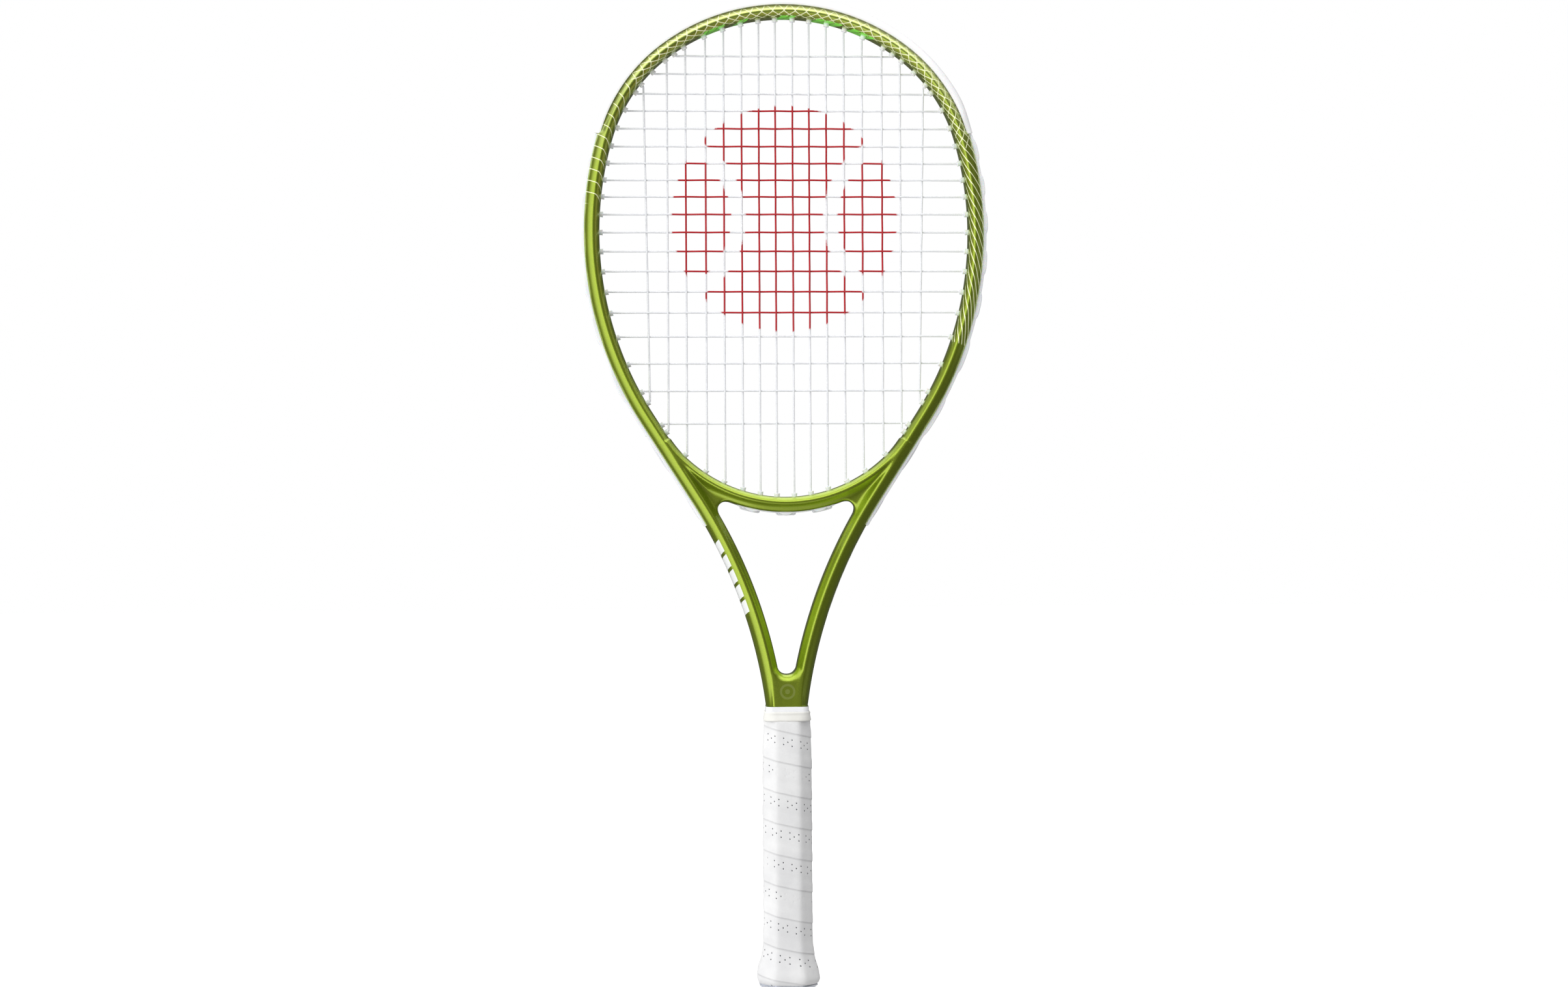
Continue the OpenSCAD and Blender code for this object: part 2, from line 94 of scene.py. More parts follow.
# Height, width and depth of the wrapped handle.
GRIP_SECTIONS = [(3, 38.6, 34.4), (4.6, 42.2, 38), (7, 44, 39.8), (9.5, 43.8, 39.6),
                 (12, 43, 38.8), (15.5, 41.2, 37), (19, 39, 34.8), (24, 36.6, 32.2),
                 (30, 35.1, 30.6), (38, 34.6, 30.1), (44, 34.5, 30), (160, 34.4, 29.9),
                 (176, 33.5, 29.1), (186.5, 32.7, 28.3)]


# ---------- the outline of the frame ----------
def pair(x, z):
    return np.array([x, z], float)


def unit(v):
    v = np.asarray(v, float)
    return v / np.linalg.norm(v)


def bearing(direction):
    """Angle of a direction in the string plane, clockwise from straight up."""
    return math.atan2(direction[0], direction[1])


def arc(centre, radius, start, end):
    a, b = bearing(start), bearing(end)
    return {"centre": centre, "radius": radius, "from": a, "turn": 1 if b > a else -1,
            "length": radius * abs(b - a)}


def line(start, direction, length):
    return {"start": start, "along": direction, "length": length}


CROWN_END = pair(0.6, 0.8)
SHOULDER_END = pair(0.96, 0.28)
SIDE_END = pair(0.8432, -0.5376)
DOWN_SHAFT = pair(SIDE_END[1], -SIDE_END[0])
CROWN_C = pair(0, CROWN_Z - CROWN_R)
SHOULDER_C = CROWN_C + (CROWN_R - SHOULDER_R) * CROWN_END
SIDE_C = SHOULDER_C + (SHOULDER_R - SIDE_R) * SHOULDER_END
SIDE_LOW = SIDE_C + SIDE_R * SIDE_END
BEND_TOP = SIDE_LOW + SHAFT_STRAIGHT * DOWN_SHAFT
BEND_C = BEND_TOP + BEND_R * SIDE_END
LEG_X = BEND_C[0] - BEND_R
CROTCH_R = np.linalg.norm([BEND_C[0], CROTCH_Z - BEND_C[1]]) - BEND_R - TUBE_W / 2
INNER_FACE = SIDE_LOW - TUBE_W / 2 * SIDE_END
BRIDGE_C = pair(0, INNER_FACE[1] + (BRIDGE_R - INNER_FACE[0] * SIDE_END[0]) / -SIDE_END[1])
BRIDGE_MID = BRIDGE_R + BRIDGE_W / 2
BRIDGE_OUT = BRIDGE_R + BRIDGE_W
# The bridge and its webs end at a line square to this direction, inside the shafts.
BRIDGE_CUT = (0.6, 0.8)

# The right-hand half of the hairpin, from the crown down to the foot of the leg.
HAIRPIN = [arc(CROWN_C, CROWN_R, pair(0, 1), CROWN_END),
           arc(SHOULDER_C, SHOULDER_R, CROWN_END, SHOULDER_END),
           arc(SIDE_C, SIDE_R, SHOULDER_END, SIDE_END),
           line(SIDE_LOW, DOWN_SHAFT, SHAFT_STRAIGHT),
           arc(BEND_C, BEND_R, -SIDE_END, pair(-1, 0)),
           line(pair(LEG_X, BEND_C[1]), pair(0, -1), BEND_C[1] - LEG_LOW_Z)]
BUMPER_END = HAIRPIN[0]["length"] + HAIRPIN[1]["length"]
SHAFT_TOP = BUMPER_END + HAIRPIN[2]["length"]
STRIP_LOW = (SHAFT_TOP + SHAFT_STRAIGHT
             + BEND_R * abs(bearing(-SIDE_END) - bearing(pair(-1, 0)))
             - BEND_R * math.radians(STRIP_END))


def place(s):
    """Point of the centre line at arc length s from the crown, and the way outward."""
    side = -1.0 if s < 0 else 1.0
    rest = abs(s)
    for piece in HAIRPIN:
        if rest <= piece["length"]:
            break
        rest -= piece["length"]
    if "radius" in piece:
        angle = piece["from"] + piece["turn"] * rest / piece["radius"]
        ray = pair(math.sin(angle), math.cos(angle))
        point, out = piece["centre"] + piece["radius"] * ray, piece["turn"] * ray
    else:
        point = piece["start"] + rest * piece["along"]
        out = pair(-piece["along"][1], piece["along"][0])
    return point * (side, 1), out * (side, 1)


def locate(x, z):
    """Arc length along the hairpin and offset outward from it, for arrays of points."""
    a = np.abs(x)
    best = np.full(a.shape, np.inf)
    along = np.zeros(a.shape)
    across = np.zeros(a.shape)
    start = 0.0
    for piece in HAIRPIN:
        if "radius" in piece:
            dx, dz = a - piece["centre"][0], z - piece["centre"][1]
            swept = (np.arctan2(dx, dz) - piece["from"]) * piece["turn"]
            t = np.clip(swept * piece["radius"], 0, piece["length"])
            angle = piece["from"] + piece["turn"] * t / piece["radius"]
            gap = np.hypot(dx - piece["radius"] * np.sin(angle),
                           dz - piece["radius"] * np.cos(angle))
            u = piece["turn"] * (np.hypot(dx, dz) - piece["radius"])
        else:
            dx, dz = a - piece["start"][0], z - piece["start"][1]
            t = np.clip(dx * piece["along"][0] + dz * piece["along"][1], 0, piece["length"])
            u = -dx * piece["along"][1] + dz * piece["along"][0]
            gap = np.hypot(dx - t * piece["along"][0], dz - t * piece["along"][1])
        nearer = gap < best
        best = np.where(nearer, gap, best)
        along = np.where(nearer, start + t, along)
        across = np.where(nearer, np.sign(u) * gap, across)
        start += piece["length"]
    return along, across


# ---------- the moulded frame as a distance field ----------
# Size of the grid's cells, and how many there are from the middle to the side and the front.
CELL = 1.05
CELLS_X = 139
CELLS_Y = 13


def smooth_max(a, b, k):
    h = np.maximum(k - np.abs(a - b), 0) / k
    return np.maximum(a, b) + h * h * k / 4


def smooth_min(a, b, k):
    return -smooth_max(-a, -b, k)


def smooth_step(low, high, v):
    t = np.clip((v - low) / (high - low), 0, 1)
    return t * t * (3 - 2 * t)


def roof_bar(u, y, half_in, half_out, ridge, edge_in, edge_out):
    """Distance to a bar whose front and back are low roofs with a rounded ridge."""
    depth = np.abs(y)
    ridge_u, ridge_y = ridge
    run_out, fall_out = half_out - ridge_u, ridge_y - edge_out
    run_in, fall_in = half_in + ridge_u, ridge_y - edge_in
    facet_out = ((u - ridge_u) * fall_out + (depth - ridge_y) * run_out)
    facet_out = facet_out / np.hypot(run_out, fall_out)
    facet_in = ((ridge_u - u) * fall_in + (depth - ridge_y) * run_in) / np.hypot(run_in, fall_in)
    outer = smooth_max(u - half_out, facet_out, 6.0)
    inner = smooth_max(-u - half_in, facet_in, 2.4)
    return smooth_max(outer, inner, 2.0)


def tube_field(along, across, y):
    under_bumper = 1 - smooth_step(BUMPER_END - 3, BUMPER_END + 1, along)
    half_out = TUBE_W / 2 - BUMPER_RECESS * under_bumper
    return roof_bar(across, y, TUBE_W / 2, half_out, (RIDGE, RIDGE_DEPTH), INNER_EDGE,
                    OUTER_EDGE + BUMPER_RECESS / 2 * under_bumper)


def bridge_field(x, y, z):
    dx, dz = np.abs(x) - BRIDGE_C[0], z - BRIDGE_C[1]
    radius = np.hypot(dx, dz)
    v = radius - BRIDGE_MID
    bar = roof_bar(v, y, BRIDGE_W / 2, BRIDGE_W / 2, BRIDGE_RIDGE, INNER_EDGE, BRIDGE_LOW_EDGE)
    end = dx * BRIDGE_CUT[0] + dz * BRIDGE_CUT[1]
    return np.maximum(np.maximum(bar, end), dz)


def web_field(x, y, z, across):
    """The thin web between the bridge and a shaft, with the opening's round corner."""
    dx, dz = np.abs(x) - BRIDGE_C[0], z - BRIDGE_C[1]
    radius = np.hypot(dx, dz)
    wedge = math.cos(math.radians(WEB_ANGLE))
    off_bridge = THROAT_CORNER - (radius - BRIDGE_OUT)
    off_shaft = THROAT_CORNER + across + TUBE_W / 2
    p = (off_bridge + wedge * off_shaft) / (1 - wedge * wedge)
    q = (off_shaft + wedge * off_bridge) / (1 - wedge * wedge)
    spread = np.sqrt(np.maximum(p * p + q * q - 2 * p * q * wedge, 0))
    corner = np.where((p > 0) & (q > 0), THROAT_CORNER - spread,
                      THROAT_CORNER - np.maximum(off_bridge, off_shaft))
    plan = np.maximum(np.maximum(corner, BRIDGE_MID - radius), across)
    plan = np.maximum(plan, dx * BRIDGE_CUT[0] + dz * BRIDGE_CUT[1])
    return smooth_max(plan, np.abs(y) - WEB_HALF, 2.5)


def crotch_field(x, y, z):
    """The filled crotch under the U, bevelled round it like the inside of the shafts."""
    opening = CROTCH_R - np.hypot(x, z - CROTCH_Z)
    plan = np.maximum(opening, z - CROTCH_Z + 1.5)
    plan = np.maximum(plan, np.abs(x) - CROTCH_HALF)
    depth = np.abs(y)
    bevel = (depth - INNER_EDGE + opening) / math.sqrt(2)
    return smooth_max(smooth_max(plan, bevel, 2.4), depth - CROTCH_DEPTH, 2.0)


def frame_field(x, y, z, along, across):
    body = smooth_min(tube_field(along, across, y), bridge_field(x, y, z), 2.5)
    body = smooth_min(body, web_field(x, y, z, across), 4.0)
    soft = 0.2 + 2.8 * (1 - smooth_step(CROTCH_Z - 8, CROTCH_Z - 1, z))
    body = smooth_min(body, crotch_field(x, y, z), soft)
    flat_front = np.abs(y) - NECK_DEPTH - 0.9 * smooth_step(198, 236, z)
    return np.maximum(smooth_max(body, flat_front, 0.8), LEG_LOW_Z - z)


def frame_value(p):
    along, across = locate(p[:, 0], p[:, 2])
    return frame_field(p[:, 0], p[:, 1], p[:, 2], along, across)


def frame_gradient(p, eps=0.03):
    g = np.zeros_like(p)
    for axis in range(3):
        d = np.zeros(3)
        d[axis] = eps
        g[:, axis] = (frame_value(p + d) - frame_value(p - d)) / (2 * eps)
    return g


def surface_net(field, axes):
    """One vertex in each grid cell that the surface crosses, and the quads between them."""
    inside = field < 0
    shape = tuple(n - 1 for n in field.shape)
    corners = [(i, j, k) for i in (0, 1) for j in (0, 1) for k in (0, 1)]
    count = np.zeros(shape, np.int8)
    for i, j, k in corners:
        count += inside[i:i + shape[0], j:j + shape[1], k:k + shape[2]]
    cells = np.argwhere((count > 0) & (count < 8))
    number = np.full(shape, -1, np.int64)
    number[tuple(cells.T)] = np.arange(len(cells))
    total = np.zeros((len(cells), 3))
    hits = np.zeros(len(cells))
    for corner in corners:
        for axis in range(3):
            if corner[axis]:
                continue
            low = cells + corner
            high = low.copy()
            high[:, axis] += 1
            a, b = field[tuple(low.T)], field[tuple(high.T)]
            cross = (a < 0) != (b < 0)
            t = np.where(cross, a / np.where(cross, a - b, 1), 0)
            step = np.zeros((len(cells), 3))
            step[:, axis] = t
            total += np.where(cross[:, None], low + step, 0)
            hits += cross
    grid = total / hits[:, None]
    points = np.stack([axes[n][0] + grid[:, n] * (axes[n][1] - axes[n][0]) for n in range(3)], 1)
    quads = []
    for axis in range(3):
        b, c = (axis + 1) % 3, (axis + 2) % 3
        lead = [slice(None)] * 3
        lead[axis] = slice(0, -1)
        tail = [slice(None)] * 3
        tail[axis] = slice(1, None)
        first, last = inside[tuple(lead)], inside[tuple(tail)]
        edges = np.argwhere(first != last)
        edges = edges[(edges[:, b] > 0) & (edges[:, c] > 0)]
        around = []
        for db, dc in ((-1, -1), (0, -1), (0, 0), (-1, 0)):
            cell = edges.copy()
            cell[:, b] += db
            cell[:, c] += dc
            around.append(number[tuple(cell.T)])
        quad = np.stack(around, 1)
        outward = first[tuple(edges.T)]
        quads.append(np.where(outward[:, None], quad, quad[:, ::-1]))
    return points, np.concatenate(quads)


def relax(points, quads, rounds):
    """Evens out the quads, then puts the vertices back on the surface."""
    for _ in range(rounds):
        total = np.zeros_like(points)
        weight = np.zeros(len(points))
        for k in range(4):
            a, b = quads[:, k], quads[:, (k + 1) % 4]
            for one, other in ((a, b), (b, a)):
                weight += np.bincount(one, minlength=len(points))
                for n in range(3):
                    total[:, n] += np.bincount(one, points[other, n], minlength=len(points))
        points = 0.4 * points + 0.6 * total / weight[:, None]
        points = settle(points, 2)
    return points


def settle(points, rounds):
    for _ in range(rounds):
        g = frame_gradient(points)
        points = points - g * (frame_value(points) / np.maximum((g * g).sum(1), 0.2))[:, None]
    return points


# ---------- meshes ----------
class Shell:
    """Vertices and faces gathered for one mesh, in millimetres."""

    def __init__(self):
        self.points = []
        self.faces = []
        self.layers = {}

    def add(self, points, faces, **layers):
        first = len(self.points)
        self.points.extend(map(tuple, points))
        self.faces.extend([tuple(first + i for i in face) for face in faces])
        for name, values in layers.items():
            self.layers.setdefault(name, []).extend(values)

    def build(self, name, sharp=None):
        mesh = bpy.data.meshes.new(name)
        mesh.from_pydata([(x * MM, y * MM, z * MM) for x, y, z in self.points], [], self.faces)
        for layer, values in self.layers.items():
            attribute = mesh.attributes.new(layer, "FLOAT", "POINT")
            attribute.data.foreach_set("value", np.asarray(values, np.float32))
        mesh.validate()
        mesh.shade_smooth()
        if sharp:
            mesh.set_sharp_from_angle(angle=math.radians(sharp))
        piece = bpy.data.objects.new(name, mesh)
        bpy.context.scene.collection.objects.link(piece)
        return piece


def grid_faces(rows, columns, closed=True):
    """Quads of a grid of rows, whose columns close into a ring."""
    faces = []
    for r in range(rows - 1):
        for c in range(columns if closed else columns - 1):
            d = (c + 1) % columns
            faces.append((r * columns + c, r * columns + d,
                          (r + 1) * columns + d, (r + 1) * columns + c))
    return faces


def capped(rows, columns):
    faces = grid_faces(rows, columns)
    faces.append(tuple(reversed(range(columns))))
    faces.append(tuple(range((rows - 1) * columns, rows * columns)))
    return faces


def add_sweep(shell, stations, profiles, flip=False):
    """Closed profiles of (outward, depth) points set up at stations (point, outward)."""
    points = []
    for (p, n), profile in zip(stations, profiles):
        points.extend((p[0] + u * n[0], y, p[1] + u * n[1]) for u, y in profile)
    faces = capped(len(profiles), len(profiles[0]))
    shell.add(points, [face[::-1] for face in faces] if flip else faces)


def add_round(shell, path, radius, sides=12):
    """A round cord along a path of 3-D points that never runs front to back."""
    path = np.asarray(path, float)
    ahead = np.vstack([path[1:] - path[:-1], path[-1:] - path[-2:-1]])
    ahead /= np.linalg.norm(ahead, axis=1)[:, None]
    tangent = ahead + np.vstack([ahead[:1], ahead[:-1]])
    tangent /= np.linalg.norm(tangent, axis=1)[:, None]
    side = np.cross(tangent, (0, 1, 0))
    side /= np.linalg.norm(side, axis=1)[:, None]
    up = np.cross(side, tangent)
    angle = np.linspace(0, 2 * math.pi, sides, endpoint=False)
    ring = side[:, None] * np.cos(angle)[None, :, None] + up[:, None] * np.sin(angle)[None, :, None]
    points = (path[:, None] + radius * ring).reshape(-1, 3)
    shell.add(points, [face[::-1] for face in capped(len(path), sides)])


def add_barrel(shell, hole, back, y):
    """A grommet barrel on a string hole, with a flared tip and an open bore."""
    p, d, run = hole
    tip, root = MOUTH_GAP, run - back
    profile = [(root, 1.85), (tip + 1.3, 1.85), (tip + 0.7, 1.9), (tip + 0.3, 2.0),
               (tip + 0.08, 1.94), (tip, 1.78), (tip, 1.15), (tip + 0.15, 0.95),
               (tip + 3, 0.9)]
    sides = 20
    side = np.array([-d[1], 0, d[0]])
    points = []
    for t, r in profile:
        centre = np.array([p[0] + t * d[0], y, p[1] + t * d[1]])
        for k in range(sides):
            a = 2 * math.pi * k / sides
            points.append(centre + r * (math.cos(a) * side + np.array([0, math.sin(a), 0])))
    shell.add(points, capped(len(profile), sides))


# ---------- string holes ----------
def on_arc(centre, radius, x=None, z=None):
    """The hole whose barrel mouth lies on a mouth arc at distance x or height z."""
    r = radius - MOUTH
    if z is None:
        lift = math.sqrt(r * r - (x - centre[0]) ** 2)
        p = pair(x, centre[1] + (lift if centre is not SIDE_C else -lift))
    else:
        p = pair(centre[0] + math.sqrt(r * r - (z - centre[1]) ** 2), z)
    return p, unit(p - centre), MOUTH + LOOP_OUT


def top_hole(x):
    if x <= CROWN_END[0] * (CROWN_R - MOUTH):
        return on_arc(CROWN_C, CROWN_R, x=x)
    return on_arc(SHOULDER_C, SHOULDER_R, x=x)


def low_hole(x):
    if x > 90:
        return on_arc(SIDE_C, SIDE_R, x=x)
    r = BRIDGE_R - BARREL_PROUD - MOUTH_GAP
    p = pair(x, BRIDGE_C[1] - math.sqrt(r * r - x * x))
    d = unit(p - BRIDGE_C)
    if x < 35:
        return p, unit([d[0] / 2, d[1]]), BRIDGE_W + BARREL_PROUD + MOUTH_GAP + UNDER_BRIDGE
    if x < 50:
        turn = math.radians(MAIN_EXIT)
        q = BEND_C + (BEND_R - LOOP_OUT) * pair(-math.cos(turn), math.sin(turn))
        return p, unit(q - p), np.linalg.norm(q - p)
    return p, d, (np.dot(SIDE_LOW - p, SIDE_END) + LOOP_OUT) / np.dot(d, SIDE_END)


def cross_hole(z):
    for centre, radius, end in ((CROWN_C, CROWN_R, CROWN_END),
                                (SHOULDER_C, SHOULDER_R, SHOULDER_END),
                                (SIDE_C, SIDE_R, SIDE_END)):
        if z >= centre[1] + end[1] * (radius - MOUTH):
            return on_arc(centre, radius, z=z)
    p = SIDE_LOW - MOUTH * SIDE_END
    return pair(p[0] - (z - p[1]) * SIDE_END[1] / SIDE_END[0], z), SIDE_END, MOUTH + LOOP_OUT


def sided(hole, side):
    return hole if side > 0 else (hole[0] * (-1, 1), hole[1] * (-1, 1), hole[2])


def leave(hole):
    return hole[0] + hole[2] * hole[1]


TOP_HOLES = [top_hole(x) for x in MAIN_TOP]
LOW_HOLES = [low_hole(x) for x in MAIN_LOW]
CROSS_HOLES = [cross_hole(z) for z in CROSS_Z]
BRIDGE_HOLES = LOW_HOLES[:3]
SHAFT_HOLES = LOW_HOLES[3:]


# ---------- strings ----------
def loop_points(a, b, y):
    """The loop that a string makes outside the frame between two holes."""
    start, end = leave(a), leave(b)
    bow = unit(a[1] + b[1]) * np.linalg.norm(start - end) ** 2 / LOOP_BULGE
    control = (start + end) / 2 + 2 * bow
    points = []
    for t in np.linspace(0, 1, 9):
        p = (1 - t) ** 2 * start + 2 * t * (1 - t) * control + t * t * end
        points.append((p[0], y, p[1]))
    return points


def bed_points(a, b, crossings, y_end):
    """The woven stretch between two holes. crossings are (share of the way, depth)."""
    span = np.linalg.norm(b - a)
    ease = 2.5 / span
    knots = [(0, y_end), (ease, y_end)] + crossings + [(1 - ease, y_end), (1, y_end)]
    where = np.array([k[0] for k in knots])
    depth = np.array([k[1] for k in knots])
    points = []
    for t in np.linspace(0, 1, int(span / 1.7)):
        i = min(np.searchsorted(where, t, side="right") - 1, len(where) - 2)
        f = (t - where[i]) / (where[i + 1] - where[i])
        y = depth[i] + (depth[i + 1] - depth[i]) * f * f * (3 - 2 * f)
        p = a + (b - a) * t
        points.append((p[0], y, p[1]))
    return points


def rounded(path, cut=1.3):
    """Rounds the sharp corners of a path."""
    path = np.asarray(path, float)
    done = [path[0]]
    for before, here, after in zip(path[:-2], path[1:-1], path[2:]):
        a, b = here - before, after - here
        la, lb = np.linalg.norm(a), np.linalg.norm(b)
        if la < 1e-6 or lb < 1e-6:
            continue
        if np.dot(a, b) / (la * lb) > 0.97:
            done.append(here)
            continue
        p, q = here - a / la * min(cut, la * 0.45), here + b / lb * min(cut, lb * 0.45)
        for t in (0, 0.25, 0.5, 0.75, 1):
            done.append((1 - t) ** 2 * p + 2 * t * (1 - t) * here + t * t * q)
    done.append(path[-1])
    return done


def main_run(i, way):
    """Main i from the bottom to the top, woven as on the right, way 1, or on the left, -1."""
    low, top = LOW_HOLES[i], TOP_HOLES[i]
    a, b = low[0], top[0]
    crossings = []
    for j in reversed(range(len(CROSS_Z))):
        t = (CROSS_Z[j] - a[1]) / (b[1] - a[1])
        crossings.append((t, way * WEAVE * (-1) ** (i + j)))
    start, end = leave(low), leave(top)
    return ([(start[0], -LAY, start[1])] + bed_points(a, b, crossings, -LAY)
            + [(end[0], -LAY, end[1])])


def half_mains(way):
    """The mains of one side and their loops, from the outermost to the middle."""
    half = []
    for i in range(len(MAIN_TOP) - 1, -1, -1):
        run = main_run(i, way)
        half += run if i % 2 else run[::-1]
        if i % 2:
            half += loop_points(TOP_HOLES[i], TOP_HOLES[i - 1], -LAY)[1:-1]
        elif i:
            half += loop_points(LOW_HOLES[i], LOW_HOLES[i - 1], -LAY)[1:-1]
    return [(way * x, y, z) for x, y, z in half]


def cross_path():
    path = []
    for j, hole in enumerate(CROSS_HOLES):
        side = -1 if j % 2 == 0 else 1
        a, b = sided(hole, -side), sided(hole, side)
        crossings = []
        for i in range(8):
            for way in (-1, 1):
                low, top = LOW_HOLES[i][0], TOP_HOLES[i][0]
                x = way * (low[0] + (top[0] - low[0]) * (CROSS_Z[j] - low[1]) / (top[1] - low[1]))
                t = (x - a[0][0]) / (b[0][0] - a[0][0])
                over = -WEAVE * (-1) ** (i + j) * way
                if 0.02 < t < 0.98:
                    crossings.append((t, over))
        crossings.sort()
        path.append((leave(a)[0], LAY, leave(a)[1]))
        path += bed_points(a[0], b[0], crossings, LAY)
        path.append((leave(b)[0], LAY, leave(b)[1]))
        if j < len(CROSS_HOLES) - 1:
            path += loop_points(b, sided(CROSS_HOLES[j + 1], side), LAY)[1:-1]
    return path


def add_knot(shell, point):
    """A small double hitch at a string's end."""
    for shift, size in ((0, 0.95), (0.8, 0.85)):
        rows, sides = 9, 12
        points = []
        for r in range(rows):
            lift = math.pi * (r + 0.5) / rows
            for k in range(sides):
                a = 2 * math.pi * k / sides
                points.append((point[0] + size * math.sin(lift) * math.cos(a),
                               point[1] + size * math.sin(lift) * math.sin(a),
                               point[2] + shift - size * math.cos(lift)))
        shell.add(points, capped(rows, sides))


def build_string(name, path):
    shell = Shell()
    add_round(shell, rounded(path), STRING_D / 2)
    add_knot(shell, path[0])
    add_knot(shell, path[-1])
    return shell.build(name)


# ---------- frame, guards and grommets ----------
def line_phase(along, across, y, sign):
    """Phase of one family of printed lines, and its distance per unit of phase."""
    out = np.maximum(across - RIDGE, 0)
    facet = np.maximum(RIDGE - across, 0)
    inward = facet * 1.3 + 0.5 * np.maximum(9 - np.abs(y), 0) * smooth_step(-4, -5.4, across)
    grow = 0.085 * np.exp(along / 190) if sign > 0 else 0.09 + 0.0007 * np.abs(along)
    bend = 0.13 + 0.22 * smooth_step(-200, 200, sign * along)
    pitch = 7.9
    phase = along / pitch + sign * (bend * inward * inward / (inward + 1.5) - grow * out)
    slope = np.hypot(1 / pitch, np.where(across < RIDGE, bend, grow))
    return phase, 1 / slope


def build_frame():
    """The frame and bridge as one surface, with the layers that its printed lines need."""
    right = np.arange(0.5, CELLS_X) * CELL
    deep = np.arange(0.5, CELLS_Y) * CELL
    x = np.concatenate([-right[::-1], right])
    y = np.concatenate([-deep[::-1], deep])
    z = np.arange(LEG_LOW_Z - 2 * CELL, CROWN_Z + 9, CELL)
    grid_x, grid_z = np.meshgrid(right, z, indexing="ij")
    along, across = locate(grid_x, grid_z)
    field = frame_field(grid_x[:, None], deep[None, :, None], z[None, None],
                        along[:, None], across[:, None])
    field = np.concatenate([field[:, ::-1], field], 1)
    field = np.concatenate([field[::-1], field], 0)
    points, quads = surface_net(field, (x, y, z))
    points = relax(settle(points, 3), quads, 2)
    normals = frame_gradient(points)
    normals /= np.linalg.norm(normals, axis=1)[:, None]
    along, across = locate(points[:, 0], points[:, 2])
    far = along
    along = far * np.sign(points[:, 0])
    lines_a, scale_a = line_phase(along, across, points[:, 1], 1)
    lines_b, scale_b = line_phase(along, across, points[:, 1], -1)
    shell = Shell()
    shell.add(points, quads.tolist(), along=along, far=far, across=across,
              lines_a=lines_a, scale_a=scale_a, lines_b=lines_b, scale_b=scale_b)
    piece = shell.build("moulded_frame")
    piece.data.normals_split_custom_set_from_vertices(normals.tolist())
    return piece


def ridge_profile(right):
    """A profile closed by its mirror image front to back; right runs from base to middle."""
    return [(u, -y) for u, y in right] + [(u, y) for u, y in reversed(right)]


def strip_profile(top):
    return ridge_profile([(4.4, 4.4), (top - 0.9, 4.5), (top - 0.35, 4.35), (top - 0.08, 3.95),
                          (top, 3.4), (top, 2.4), (top - 0.12, 1.95), (top - 0.4, 1.75),
                          (5.35, 1.7)])


def bumper_profile(swell, width):
    outline = [(3.0, 8.6), (4.2, 9.1), (5.4, 8.9), (6.8, 8.1), (7.9, 6.9), (8.5, 5.4),
               (8.75, 3.9), (8.7, 2.7), (8.5, 2.2), (8.1, 1.95), (5.35, 1.9)]
    points = []
    for u, y in outline:
        rise = u if u < 3.5 or y < 1.92 else 3.5 + (u - 3.5) * swell
        points.append((rise, y if y < 1.96 else 1.96 + (y - 1.96) * width))
    return ridge_profile(points)


def hole_along(hole):
    """Arc length of a hole's outer end along the hairpin."""
    p = leave(hole)
    return float(locate(np.array([abs(p[0])]), np.array([p[1]]))[0][0])


def strip_top(s, loops):
    """Height of the side strip's lips: they rise over each string loop."""
    rise = 0.0
    for a, b in loops:
        middle, reach = (a + b) / 2, (b - a) / 2 + 1.0
        rise = max(rise, 1 - abs((s - middle) / reach) ** 3.5)
    return 6.75 + 1.15 * max(rise, 0) ** 0.7


def build_strip(side):
    start = 1 if side > 0 else 0
    spots = [hole_along(hole) for hole in CROSS_HOLES]
    loops = [(spots[j], spots[j + 1]) for j in range(start, len(spots) - 1, 2)]
    shell = Shell()
    stations, profiles = [], []
    for s in np.arange(BUMPER_END + 0.6, STRIP_LOW, 1.0):
        stations.append(place(side * s))
        end = min(s - BUMPER_END, STRIP_LOW - s)
        profiles.append(strip_profile(strip_top(s, loops) - 0.5 * max(0, 1 - end / 1.6)))
    add_sweep(shell, stations, profiles, flip=side < 0)
    for hole in SHAFT_HOLES:
        add_barrel(shell, sided(hole, side), 1.75, -LAY)
    for hole in CROSS_HOLES:
        if hole[0][1] < BUMPER_LOW_Z:
            add_barrel(shell, sided(hole, side), 1.75, LAY)
    return shell.build("side_strip_" + ("right" if side > 0 else "left"), sharp=50)


def build_bumper():
    shell = Shell()
    stations, profiles = [], []
    for s in np.arange(-BUMPER_END, BUMPER_END + 0.1, 1.6):
        stations.append(place(s))
        end = BUMPER_END - abs(s)
        swell = 0.72 + 0.28 * float(smooth_step(0, 26, end))
        width = 0.62 + 0.38 * float(smooth_step(0, 16, end))
        profiles.append(bumper_profile(swell, width))
    add_sweep(shell, stations, profiles)
    for side in (-1, 1):
        for hole in TOP_HOLES:
            add_barrel(shell, sided(hole, side), 1.75, -LAY)
        for hole in CROSS_HOLES:
            if hole[0][1] > BUMPER_LOW_Z:
                add_barrel(shell, sided(hole, side), 1.75, LAY)
    return shell.build("head_bumper", sharp=50)


